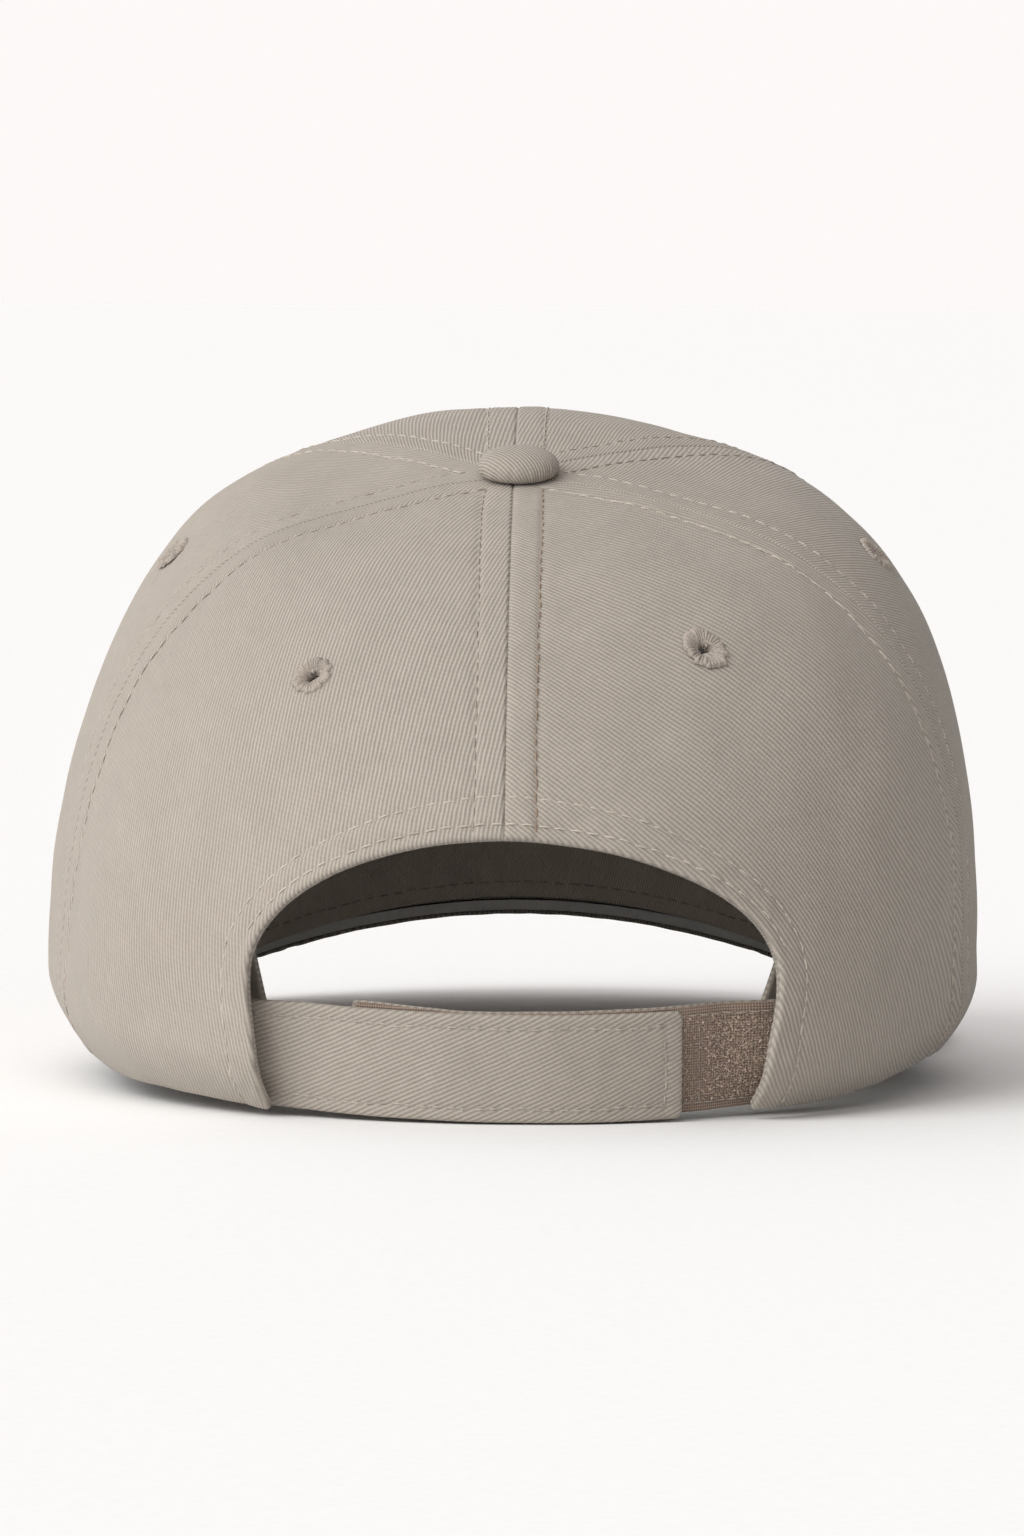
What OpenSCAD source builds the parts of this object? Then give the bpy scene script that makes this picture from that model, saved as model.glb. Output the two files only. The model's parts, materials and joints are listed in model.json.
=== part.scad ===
// Structured six-panel baseball cap with a hook-and-loop strap at the back.
//
// Rim frame, in which everything is drawn: the edge of the head opening lies at
// z = 0 round the sides and back, x runs across (the wearer's left is positive),
// y runs to the back and z runs up. placed() then tips the cap until it rests
// on the table, z = 0, on the sides of its visor and the bottom of its strap.
//
// Every crown piece follows one surface, crown(th, u): th is the angle round
// from the centre back, u runs from -1 at the rim, over 0 at the widest level,
// to 1 at the apex. skin(th, u, depth) lies that far inside it.

/* [Crown] */
// Half width of the crown at the rim
rim_half_w = 82.75; // [78:0.25:88]
// Half length of the crown at the rim
rim_half_l = 101.5; // [97:0.5:108]
// Height of the crown under its button
crown_h = 107.2; // [100:0.2:116]
// Height of the widest level
bulge_z = 12.5; // [11:0.5:20]
// Widest level compared with the rim
bulge = 1.068; // [1.03:0.002:1.1]
// Squareness of the profile at the back, 2 is an ellipse
square_back = 2.3; // [2:0.1:2.6]
// Squareness of the profile at the front
square_front = 3.7; // [3:0.1:4.5]
// How far the front leans back as it rises
rake = 0.14; // [0.05:0.01:0.2]
// Share by which the front stands higher and the back lower
lean = 0.163; // [0.1:0.001:0.18]
// Angle of the seams between back and side panels
back_seam = 75; // [70:1:80]
// Angle of the seams between side and front panels
front_seam = 128; // [122:1:134]

/* [Cloth] */
// Thickness of the twill panels
twill_t = 0.8; // [0.6:0.1:1]
// Thickness of the buckram behind the front panels
buckram_t = 0.6; // [0.4:0.1:0.8]
// Width of the seam tapes
tape_w = 11; // [8:1:13]
// Height of the sweatband
sweatband_h = 29; // [25:1:32]

/* [Back opening] */
// Half angle of the opening at its widest
open_half = 33.3; // [30:0.1:35]
// Height of the widest point of the opening
open_mid = 26; // [22:1:28]
// Height of the arch above its widest point
open_rise = 26.4; // [24:0.2:29]
// Width of the facing round the opening
facing_w = 8.5; // [6:0.5:10]

/* [Visor] */
// How far the visor's front edge lies in front of the head's centre
visor_reach = 174; // [165:1:180]
// Radius of the visor's curve across
visor_r = 160; // [140:5:200]
// Angle by which the visor slopes down to the front
visor_slope = 8; // [5:1:11]
// Thickness of the visor board
board_t = 2; // [1.6:0.1:2.4]

/* [Closure] */
// Outer radius of the closed strap
strap_r = 68; // [67:0.2:68.4]
// Height of the strap
strap_h = 20; // [18:0.5:21]
// Angle of the hook strap's free end
hook_end = 28; // [20:1:32]
// Angle of the loop strap's free end
loop_end = 27; // [20:1:30]

/* [Button and eyelets] */
// Radius of the covered button
button_r = 7.75; // [6.5:0.25:8.5]
// Outer radius of an embroidered eyelet
eyelet_r = 3.8; // [3:0.1:4.5]
// Radius of the vent hole in an eyelet
vent_r = 1.1; // [0.8:0.1:1.5]

/* [Hidden] */

$fn = 96;

stone = [0.72, 0.69, 0.65];
stone_dark = [0.55, 0.51, 0.47];
off_white = [0.9, 0.89, 0.86];
loop_brown = [0.48, 0.41, 0.37];
tin = [0.75, 0.75, 0.76];
thread = [0.78, 0.74, 0.69];

// Gap left between two layers of cloth that touch on the real cap
ply_gap = 0.25;
// How quickly the wall below the widest level curls in
curl = 1.7;
// u of the small ring that the panels leave open for the button's prong
apex_u = 0.982;
// Steps of the finite differences that give the normal
th_step = 0.5;
u_step = 0.01;
// Highest u at which the profile still has a slope
u_top = 0.995;
bisections = 22;
// No part of the rim is lifted above this u by the visor
rim_u_max = 0.4;

// Visor: angle from the front over which it is sewn on, and its outline
visor_span = 68;
visor_start = 180 - visor_span;
visor_in = 2.5;
cover_t = 0.7;
edge_hem = 0.8;
tip = [79, -37];
tip_pull = [103, -118];
front_pull = [62, -visor_reach];
visor_columns = 32;
visor_rows = 6;

// Back opening: how much its sides draw in down to the rim, in degrees, and how
// many millimetres of cloth one degree is there
open_tuck = 0.8;
mm_per_degree = 1.5;

// Sweatband: distance inside the rim, at the front and beside the straps
band_in = 6;
band_in_back = 9;
band_t = 0.9;
band_lean = 1.5;
band_end_low = 38;
band_end_high = 40.5;
pad_in = 3.2;
pad_t = 1.8;
pad_span = 85;

// Depths of the inner layers below the crown's surface
facing_depth = twill_t + ply_gap;
facing_t = 0.7;
buckram_depth = twill_t + ply_gap;
tape_t = 0.4;
tape_depth = twill_t + ply_gap;
tape_depth_front = buckram_depth + buckram_t + ply_gap;

// Strap stack, from the outside in, about a vertical axis through strap_axis
strap_axis = [0, 30];
hook_t = 1.6;
patch_t = 0.8;
loop_gap = 0.3;
loop_t = 1;
sewn_gap = 0.1;
patch_r = strap_r - hook_t - sewn_gap;
loop_r = patch_r - patch_t - loop_gap;
back_r = loop_r - loop_t - sewn_gap;
loop_stack = 2 * loop_t + sewn_gap;
hook_hinge = 32;
hook_tail = 54;
loop_hinge = 38;
loop_tail = 50;
// A knuckle stands a little proud of its strap and stops short of the strap's
// edges, and its root is cut clear of it
knuckle_proud = 0.05;
knuckle_short = 0.4;
knuckle_gap = 0.4;
patch_from = -hook_end + 2;
patch_to = 24;
patch_margin = 1.5;
tape_margin = 0.8;

// Eyelets: thickness of the wall of thread in the hole, and the angle and height
// of each on the left half
eyelet_wall = 0.65;
eyelet_back_at = [36, 79.7];
eyelet_side_at = [95, 92];
eyelet_front_at = [153, 96];

// Tilt that brings the visor and the strap onto the table together
strap_back = strap_axis[1] + strap_r;
visor_stack = ply_gap + 2 * cover_t + board_t + 2 * ply_gap;
tilt = max([for (i = [0:visor_columns]) let (p = visor_edge(i / visor_columns))
    atan2(visor_stack - seat(p), strap_back - p[1])]);
lift = strap_back * sin(tilt);

// ---------------------------------------------------------------- surfaces

function mix(a, b, w) = a + (b - a) * w;

function squareness(th) = mix(square_back, square_front, (1 - cos(th)) / 2);

// Radius (as a share of the rim's) and height of the profile at u
function profile(th, u) = u > 0 ? profile_upper(squareness(th), 90 * u)
    : [bulge - (bulge - 1) * pow(-u, curl), bulge_z * (1 + u)];
function profile_upper(n, a) =
    let (r = pow(pow(cos(a), n) + pow(sin(a), n), 1 / n))
    [bulge * cos(a) / r, bulge_z + (crown_h - bulge_z) * sin(a) / r];

function crown(th, u) =
    let (p = profile(th, u), share = p[0] * cos(th), front = min(share, 0))
    [p[0] * rim_half_w * sin(th),
     rim_half_l * (share + rake * p[1] / crown_h * front * front),
     p[1] * (1 - lean * share)];

function unit(v) = v / norm(v);

// Outward normal of the crown
function normal(th, u) =
    let (lo = max(u - u_step, -1), hi = min(u + u_step, u_top))
    unit(cross(crown(th, hi) - crown(th, lo), crown(th + th_step, u) - crown(th - th_step, u)));

function skin(th, u, depth) = crown(th, u) - depth * normal(th, u);

// u at which the crown reaches height z at angle th
function u_at(th, z, lo = -1, hi = apex_u, n = bisections) =
    let (mid = (lo + hi) / 2)
    n == 0 ? mid
    : crown(th, mid)[2] < z ? u_at(th, z, mid, hi, n - 1) : u_at(th, z, lo, mid, n - 1);

// Underside of the crown's edge on the visor: a cylinder that slopes forward
function visor_end() = crown(visor_start, -1);
function seat(p) =
    let (e = visor_end())
    (e[0] * e[0] - p[0] * p[0]) / (2 * visor_r) - tan(visor_slope) * (e[1] - p[1]);

// u of the rim: the lower edge, lifted by the visor at the front
function rim_u(th) = th <= visor_start || th >= 360 - visor_start ? -1
    : rim_search(th, -1, rim_u_max, bisections);
function rim_search(th, lo, hi, n) =
    let (mid = (lo + hi) / 2, p = crown(th, mid))
    n == 0 ? mid
    : p[2] < seat(p) ? rim_search(th, mid, hi, n - 1) : rim_search(th, lo, mid, n - 1);

// Point a distance inside the rim, measured square to it in plan
function inside_rim(th, in) =
    let (p = crown(th, rim_u(th)), n = unit([p[0] / pow(rim_half_w, 2), p[1] / pow(rim_half_l, 2)]))
    [p[0] - in * n[0], p[1] - in * n[1], p[2]];

// ------------------------------------------------------------- solid makers

function flat(rows) = [for (r = rows) for (p = r) p];

// Closed slab between two grids of points with the same rows and columns;
// the first notch_c columns are left out of the first notch_r rows
module slab(outer, inner, notch_r = 0, notch_c = 0) {
    rows = len(outer);
    cols = len(outer[0]);
    n = rows * cols;
    top = [for (r = [0:rows - 2]) for (c = [0:cols - 2]) if (r >= notch_r || c >= notch_c)
        let (a = r * cols + c) each [[a, a + cols, a + 1], [a + 1, a + cols, a + cols + 1]]];
    under = [for (f = top) [f[0] + n, f[2] + n, f[1] + n]];
    border = concat([for (c = [notch_c:cols - 1]) c],
                    [for (r = [1:rows - 1]) r * cols + cols - 1],
                    [for (c = [cols - 2:-1:0]) (rows - 1) * cols + c],
                    [for (r = [rows - 2:-1:max(notch_r, 1)]) r * cols],
                    notch_c == 0 ? [] : [for (c = [1:notch_c]) notch_r * cols + c],
                    notch_c == 0 ? [] : [for (r = [notch_r - 1:-1:1]) r * cols + notch_c]);
    m = len(border);
    sides = [for (i = [0:m - 1]) let (a = border[i], b = border[(i + 1) % m])
        each [[a, b, a + n], [b, b + n, a + n]]];
    polyhedron(points = concat(flat(outer), flat(inner)), faces = concat(top, under, sides));
}

// Slab that follows the crown between two depths; places is a grid of [th, u]
module crown_slab(places, depth, t, notch_r = 0, notch_c = 0) {
    slab([for (row = places) [for (p = row) skin(p[0], p[1], depth)]],
         [for (row = places) [for (p = row) skin(p[0], p[1], depth + t)]], notch_r, notch_c);
}

module placed() {
    translate([0, 0, lift]) rotate([-tilt, 0, 0]) children();
}

module mirrored() {
    mirror([1, 0, 0]) children();
}

// Turns z to the crown's normal at an eyelet given as [th, height]
module on_crown(at) {
    u = u_at(at[0], at[1]);
    n = normal(at[0], u);
    translate(crown(at[0], u)) rotate([0, acos(n[2]), atan2(n[1], n[0])]) children();
}

// ------------------------------------------------------------- crown panels

arch_columns = 8;
rim_columns = 9;
panel_columns = 10;
// Rows up to the level of the opening's widest point, and from there to the apex
low_rows = 6;
high_rows = 16;
panel_rows = low_rows + high_rows;

// Half angle of the back opening at height z, and its outline over the arch;
// grow moves both outward along the cloth
function open_side(z, grow) =
    open_half + grow / mm_per_degree - open_tuck * pow(1 - z / open_mid, 2);
function open_arch(t, grow) =
    [(open_half + grow / mm_per_degree) * sin(t), open_mid + (open_rise + grow) * cos(t)];

// u of row r of a panel at angle th, which meets its neighbours' rows at the seams
function row_u(th, r) = r == 0 ? rim_u(th)
    : r < low_rows ? u_at(th, mix(crown(th, rim_u(th))[2], open_mid, r / low_rows))
    : mix(u_at(th, open_mid), apex_u, (r - low_rows) / high_rows);

// u of the same row over the arch, where the panel only starts at the arch
function arch_row_u(th, z, r) = mix(u_at(th, z), apex_u, (r - low_rows) / high_rows);

// The columns over the arch have no cells in the rows beside the opening
module back_panel() {
    function arch_place(r, c) =
        let (foot = open_arch(90 * c / arch_columns, 0),
             top_th = back_seam * c / (arch_columns + rim_columns))
        [mix(foot[0], top_th, max(r - low_rows, 0) / high_rows), arch_row_u(foot[0], foot[1], r)];
    function rim_place(r, c) =
        let (side = open_side(open_mid * min(r / low_rows, 1), 0), k = c - arch_columns,
             foot = mix(side, back_seam, k / rim_columns),
             top_th = back_seam * c / (arch_columns + rim_columns),
             th = mix(foot, top_th, max(r - low_rows, 0) / high_rows))
        [th, row_u(th, r)];
    difference() {
        crown_slab([for (r = [0:panel_rows]) [for (c = [0:arch_columns + rim_columns])
                    c < arch_columns ? arch_place(r, c) : rim_place(r, c)]],
                   0, twill_t, low_rows, arch_columns);
        on_crown(eyelet_back_at) eyelet_hole();
    }
}

function plain_places(th_from, th_to, row_from, row_to) =
    [for (r = [row_from:row_to]) [for (c = [0:panel_columns])
        let (th = mix(th_from, th_to, c / panel_columns)) [th, row_u(th, r)]]];

module plain_panel(th_from, th_to, eyelet_at) {
    difference() {
        crown_slab(plain_places(th_from, th_to, 0, panel_rows), 0, twill_t);
        on_crown(eyelet_at) eyelet_hole();
    }
}

module eyelet_hole() {
    through = 12;
    cylinder(h = through, r = vent_r + eyelet_wall + ply_gap / 2, center = true, $fn = 24);
}

module front_panel_left() {
    color(stone) placed() plain_panel(front_seam, 180, eyelet_front_at);
}

module front_panel_right() {
    color(stone) placed() mirrored() plain_panel(front_seam, 180, eyelet_front_at);
}

module side_panel_left() {
    color(stone) placed() plain_panel(back_seam, front_seam, eyelet_side_at);
}

module side_panel_right() {
    color(stone) placed() mirrored() plain_panel(back_seam, front_seam, eyelet_side_at);
}

module back_panel_left() {
    color(stone) placed() back_panel();
}

module back_panel_right() {
    color(stone) placed() mirrored() back_panel();
}

// -------------------------------------------------------------- inner layers

// Margins of the buckram at the side and centre seams, in degrees, and which of
// the panel's rows it spans
buckram_side = 1.2;
buckram_centre = 0.3;
buckram_low = 1;
buckram_high = panel_rows - 2;

module buckram() {
    difference() {
        crown_slab(plain_places(front_seam + buckram_side, 180 - buckram_centre,
                                buckram_low, buckram_high), buckram_depth, buckram_t);
        on_crown(eyelet_front_at) eyelet_hole();
    }
}

module front_buckram_left() {
    color(off_white) placed() buckram();
}

module front_buckram_right() {
    color(off_white) placed() mirrored() buckram();
}

tape_high = panel_rows - 2;

// Tape centred on the seam at th, through the given list of u
module seam_tape(th, us, depth) {
    function half(u) = tape_w / 2 / (profile(th, u)[0] * (rim_half_w + rim_half_l) / 2) * 180 / PI;
    crown_slab([for (u = us) let (w = half(u)) [[th - w, u], [th, u], [th + w, u]]], depth, tape_t);
}

function seam_rows(th) = [for (r = [1:tape_high]) row_u(th, r)];

module seam_tape_front() {
    color(stone_dark) placed() seam_tape(180, seam_rows(180), tape_depth_front);
}

module seam_tape_front_left() {
    color(stone_dark) placed() seam_tape(front_seam, seam_rows(front_seam), tape_depth_front);
}

module seam_tape_front_right() {
    color(stone_dark) placed() mirrored()
        seam_tape(front_seam, seam_rows(front_seam), tape_depth_front);
}

module seam_tape_back_left() {
    color(stone_dark) placed() seam_tape(back_seam, seam_rows(back_seam), tape_depth);
}

module seam_tape_back_right() {
    color(stone_dark) placed() mirrored() seam_tape(back_seam, seam_rows(back_seam), tape_depth);
}

module seam_tape_back() {
    arch_top = open_mid + open_rise;
    above_facing = low_rows + 3;
    color(stone_dark) placed()
        seam_tape(0, [for (r = [above_facing:tape_high]) arch_row_u(0, arch_top, r)], tape_depth);
}

// Folded strip that lines the edge of the back opening, one side to the other
module opening_facing() {
    hem = 0.6;
    hem_z = 0.8;
    grows = [hem, facing_w / 2, facing_w];
    function side_of(grow) = [for (r = [0:low_rows - 1])
        let (z = max(open_mid * r / low_rows, hem_z)) [open_side(z, grow), z]];
    function half(grow) = concat(side_of(grow),
        [for (c = [arch_columns:-1:0]) open_arch(90 * c / arch_columns, grow)]);
    function whole(grow) = let (list = half(grow), last = len(list) - 1)
        concat([for (i = [0:last]) [-list[i][0], list[i][1]]], [for (i = [last - 1:-1:0]) list[i]]);
    color(stone) placed() crown_slab(
        [for (g = grows) [for (p = whole(g)) [p[0], u_at(p[0], p[1])]]], facing_depth, facing_t);
}

band_columns = 60;
// Height of the sweatband's lower edge above the rim
band_lift = 0.4;
// Angles between which it moves in towards the straps
band_turn = [55, 90];

function ease(w) = w * w * (3 - 2 * w);

// How far the sweatband stands inside the rim: more beside the straps
function band_at(th) =
    let (off = min(th, 360 - th), w = (off - band_turn[0]) / (band_turn[1] - band_turn[0]))
    mix(band_in_back, band_in, ease(min(max(w, 0), 1)));

module sweatband() {
    function th_at(c, w) =
        let (end = mix(band_end_low, band_end_high, w))
        mix(end, 360 - end, c / band_columns);
    function row(w, d) = [for (c = [0:band_columns])
        let (th = th_at(c, w), p = inside_rim(th, band_at(th) + band_lean * w + d))
        [p[0], p[1], p[2] + mix(band_lift, sweatband_h, w)]];
    color(off_white) placed()
        slab([for (w = [0, 0.5, 1]) row(w, 0)], [for (w = [0, 0.5, 1]) row(w, band_t)]);
}

module sweatband_padding() {
    columns = 36;
    drop = 3;
    function row(w, d) = [for (c = [0:columns])
        let (th = 180 + pad_span * (2 * c / columns - 1),
             p = inside_rim(th, pad_in + band_lean * w + d))
        [p[0], p[1], p[2] + mix(drop, sweatband_h - drop, w)]];
    color(off_white) placed() slab([row(0, 0), row(1, 0)], [row(0, pad_t), row(1, pad_t)]);
}

// -------------------------------------------------------- button and eyelets

button_base = 0.35;
button_waist = 1.6;
button_top = 5.4;
dome_n = 2.3;
// Prong that holds the button, and how far under the apex its washer lies
prong_r = 1.1;
prong_reach = 3;
washer_z = 2.4;

// Turns z to the crown's normal at the apex, which leans back
module on_apex() {
    translate([0, 0, crown_h]) rotate([-atan(lean * crown_h / rim_half_l), 0, 0]) children();
}

// Outline of the dome from its rim to its top; shrink moves it inward
function dome(shrink) = [for (i = [0:10]) let (a = 9 * i)
    [(button_r - shrink) * pow(cos(a), 2 / dome_n),
     button_waist + (button_top - shrink - button_waist) * pow(sin(a), 2 / dome_n)]];

module button_cover() {
    cloth = 0.7;
    tuck = 1.3;
    outer = concat([[button_r - tuck, button_base]], dome(0));
    inner = concat([[button_r - tuck, button_base + cloth]], dome(cloth));
    color(stone) placed() on_apex() rotate_extrude()
        polygon(concat(outer, [for (i = [len(inner) - 1:-1:0]) inner[i]]));
}

module button_shell() {
    under_cloth = 0.8;
    sheet = 0.5;
    outer = dome(under_cloth);
    inner = dome(under_cloth + sheet);
    color(tin) placed() on_apex() rotate_extrude()
        polygon(concat(outer, [for (i = [len(inner) - 1:-1:0]) inner[i]]));
}

module button_back() {
    plate_z = 1.15;
    plate_t = 0.4;
    color(tin) placed() on_apex() {
        translate([0, 0, plate_z]) cylinder(h = plate_t, r = button_r - 1.7);
        translate([0, 0, -prong_reach]) cylinder(h = prong_reach + plate_z + plate_t / 2, r = prong_r);
    }
}

module button_washer() {
    washer_r = 4.5;
    washer_t = 0.5;
    fit = 0.05;
    color(tin) placed() on_apex() translate([0, 0, -washer_z]) difference() {
        cylinder(h = washer_t, r = washer_r);
        cylinder(h = 4 * washer_t, r = prong_r + fit, center = true);
    }
}

// Threads worked round a vent hole, both faces; cloth is the depth they go through
module eyelet(cloth) {
    ring = 0.6;
    out = 0.12;
    back = cloth + 0.8;
    back_r = eyelet_r - 1;
    bevel = 0.5;
    rotate_extrude($fn = 48) polygon([
        [vent_r, -back - ring], [back_r - bevel / 2, -back - ring], [back_r, -back],
        [vent_r + eyelet_wall, -back], [vent_r + eyelet_wall, out], [eyelet_r, out],
        [eyelet_r - bevel, out + ring], [vent_r + bevel, out + ring], [vent_r, out + ring / 3]
    ]);
}

module eyelet_front_left() {
    color(thread) placed() on_crown(eyelet_front_at) eyelet(buckram_depth + buckram_t);
}

module eyelet_front_right() {
    color(thread) placed() mirrored() on_crown(eyelet_front_at) eyelet(buckram_depth + buckram_t);
}

module eyelet_side_left() {
    color(thread) placed() on_crown(eyelet_side_at) eyelet(twill_t);
}

module eyelet_side_right() {
    color(thread) placed() mirrored() on_crown(eyelet_side_at) eyelet(twill_t);
}

module eyelet_back_left() {
    color(thread) placed() on_crown(eyelet_back_at) eyelet(twill_t);
}

module eyelet_back_right() {
    color(thread) placed() mirrored() on_crown(eyelet_back_at) eyelet(twill_t);
}

// --------------------------------------------------------------------- visor

// Half of the visor's outline is one Bezier curve, from the front to the tip
function visor_half(t) = pow(1 - t, 3) * [0, -visor_reach] + 3 * pow(1 - t, 2) * t * front_pull
    + 3 * (1 - t) * t * t * tip_pull + pow(t, 3) * tip;

// Outer edge from the right tip, w = 0, round the front to the left tip, w = 1
function visor_edge(w) =
    let (p = visor_half(abs(2 * w - 1)), side = w < 0.5 ? -1 : 1)
    [side * p[0], p[1]];

// Sheet under the crown's edge, drop below the seat, drawn in by hem all round
module visor_sheet(drop, t, hem) {
    function inner_at(w) =
        let (p = inside_rim(180 + visor_span * (1 - 2 * w), visor_in + hem))
        [p[0], p[1]];
    function plan(r, c) =
        let (w = c / visor_columns, a = inner_at(w), b = visor_edge(w), d = unit(b - a))
        mix(a, b - hem * d, r / visor_rows);
    function grid(d) = [for (r = [0:visor_rows]) [for (c = [0:visor_columns])
        let (p = plan(r, c)) [p[0], p[1], seat(p) - d]]];
    slab(grid(drop), grid(drop + t));
}

module visor_top_cover() {
    color(stone) placed() visor_sheet(ply_gap, cover_t, 0);
}

module visor_board() {
    color(off_white) placed() visor_sheet(2 * ply_gap + cover_t, board_t, edge_hem);
}

module visor_bottom_cover() {
    color(stone) placed() visor_sheet(3 * ply_gap + cover_t + board_t, cover_t, 0);
}

// ------------------------------------------------------------------- closure

// Arc of strap between two radii; angles run from the centre back, left positive
module strap_arc(r_out, t, from, to, z0, z1) {
    translate([strap_axis[0], strap_axis[1], z0]) rotate([0, 0, 90 - to])
        rotate_extrude(angle = to - from, $fn = 180)
            translate([r_out - t, 0]) square([t, z1 - z0]);
}

// Upright knuckle midway through a strap of thickness t, thicker by grow on each
// side and longer by over at each end
module knuckle(r_out, t, at, grow, over) {
    mid = r_out - t / 2;
    translate([strap_axis[0] + mid * sin(at), strap_axis[1] + mid * cos(at), -over])
        cylinder(h = strap_h + 2 * over, r = t / 2 + grow, $fn = 32);
}

module hook_strap_root() {
    color(stone) placed() difference() {
        strap_arc(strap_r, hook_t, hook_hinge, hook_tail, 0, strap_h);
        knuckle(strap_r, hook_t, hook_hinge, knuckle_proud + knuckle_gap, 1);
    }
}

module hook_strap() {
    color(stone) placed() union() {
        strap_arc(strap_r, hook_t, -hook_end, hook_hinge, 0, strap_h);
        knuckle(strap_r, hook_t, hook_hinge, knuckle_proud, -knuckle_short);
    }
}

module hook_patch() {
    color(loop_brown) placed()
        strap_arc(patch_r, patch_t, patch_from, patch_to, patch_margin, strap_h - patch_margin);
}

module loop_strap_root() {
    color(stone) placed() difference() {
        strap_arc(loop_r, loop_stack, -loop_tail, -loop_hinge, 0, strap_h);
        knuckle(loop_r, loop_stack, -loop_hinge, knuckle_proud + knuckle_gap, 1);
    }
}

module loop_strap() {
    color(stone) placed() union() {
        strap_arc(back_r, loop_t, -loop_hinge, loop_end, 0, strap_h);
        knuckle(loop_r, loop_stack, -loop_hinge, knuckle_proud, -knuckle_short);
    }
}

module loop_tape() {
    clear_of_knuckle = 1.5;
    color(loop_brown) placed() strap_arc(loop_r, loop_t, -loop_hinge + clear_of_knuckle,
                                         loop_end - 1, tape_margin, strap_h - tape_margin);
}

// ----------------------------------------------------------------- the cap

front_panel_left();
front_panel_right();
side_panel_left();
side_panel_right();
back_panel_left();
back_panel_right();
front_buckram_left();
front_buckram_right();
seam_tape_front();
seam_tape_front_left();
seam_tape_front_right();
seam_tape_back_left();
seam_tape_back_right();
seam_tape_back();
opening_facing();
sweatband();
sweatband_padding();
button_cover();
button_shell();
button_back();
button_washer();
eyelet_front_left();
eyelet_front_right();
eyelet_side_left();
eyelet_side_right();
eyelet_back_left();
eyelet_back_right();
visor_board();
visor_top_cover();
visor_bottom_cover();
hook_strap_root();
hook_strap();
hook_patch();
loop_strap_root();
loop_strap();
loop_tape();
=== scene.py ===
import json
import math

import bpy
import numpy as np
from mathutils import Matrix, Vector


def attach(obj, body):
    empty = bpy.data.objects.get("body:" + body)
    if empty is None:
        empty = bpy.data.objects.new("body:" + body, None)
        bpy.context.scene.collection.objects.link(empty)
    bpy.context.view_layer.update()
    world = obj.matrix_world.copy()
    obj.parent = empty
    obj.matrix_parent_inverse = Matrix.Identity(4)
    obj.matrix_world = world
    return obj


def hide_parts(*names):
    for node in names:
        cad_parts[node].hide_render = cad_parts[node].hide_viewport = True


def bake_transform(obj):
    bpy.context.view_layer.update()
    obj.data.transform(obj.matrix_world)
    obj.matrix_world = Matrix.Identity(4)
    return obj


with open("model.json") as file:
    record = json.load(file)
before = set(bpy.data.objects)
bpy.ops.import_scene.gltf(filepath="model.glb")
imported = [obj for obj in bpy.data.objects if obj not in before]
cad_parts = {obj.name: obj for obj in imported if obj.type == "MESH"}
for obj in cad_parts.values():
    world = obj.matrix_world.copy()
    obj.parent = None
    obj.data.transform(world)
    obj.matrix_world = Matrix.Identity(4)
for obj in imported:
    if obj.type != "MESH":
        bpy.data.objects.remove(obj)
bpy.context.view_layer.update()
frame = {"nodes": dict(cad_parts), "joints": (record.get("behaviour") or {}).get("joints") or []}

# Six-panel baseball cap with a hook-and-loop strap, seen from behind.
#
# Shapes are worked out in millimetres in the cap's rim frame, as in the CAD: th is
# the angle round from the centre back (the wearer's left is positive) and u runs
# from -1 at the rim, over 0 at the widest level, to 1 at the apex. place() tips
# the cap onto the table and turns millimetres into metres.

MM = 0.001

# ---- frame of the cap ----

# The closure's axis in plan and the height of its middle say, with the axis of
# closure_adjust, how far the cap is tipped and lifted to stand on the table
STRAP_AXIS = (0.0, 30.0)
STRAP_MID = 10.0
adjust = next(j for j in frame["joints"] if j["name"] == "closure_adjust")
TILT = math.atan2(adjust["axis"][1], adjust["axis"][2])
LIFT = adjust["pos_m"][2] / MM + STRAP_AXIS[1] * math.sin(TILT) - STRAP_MID * math.cos(TILT)


def place(points):
    """Points in the rim frame, in millimetres, to the part's own frame, in metres."""
    p = np.asarray(points, float)
    y = p[..., 1] * math.cos(TILT) + p[..., 2] * math.sin(TILT)
    z = p[..., 2] * math.cos(TILT) - p[..., 1] * math.sin(TILT) + LIFT
    return np.stack([p[..., 0], y, z], -1) * MM


# Driving dimensions, as in the CAD
RIM_W, RIM_L = 82.75, 101.5     # half the rim's width and length
CROWN_H = 107.2
BULGE, BULGE_Z = 1.068, 12.5    # widest level: share of the rim's width, and height
CURL = 1.7                      # how roundly the crown draws in below it
SQUARE_BACK, SQUARE_FRONT = 2.3, 3.7
RAKE, LEAN = 0.14, 0.163        # how far the front leans back and the levels slope
BACK_SEAM, FRONT_SEAM = 75.0, 128.0
APEX_U = 0.982
TWILL_T = 0.8
PLY_GAP = 0.25

OPEN_HALF, OPEN_MID, OPEN_RISE = 33.3, 26.0, 26.4
OPEN_TUCK = 1.6
OPEN_SLACK = 1.4       # the opening's right side hangs this many degrees wider
DRIFT = 0.9            # the middle of the crown sits this far to the left
MM_PER_DEGREE = 1.5

VISOR_SPAN = 68.0
VISOR_START = 180 - VISOR_SPAN
VISOR_R, VISOR_SLOPE = 160.0, 8.0
VISOR_IN = 2.5
VISOR_OUTLINE = np.array([[0, -174], [62, -174], [103, -118], [79, -37]], float)
COVER_T, BOARD_T = 0.7, 2.0

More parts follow.
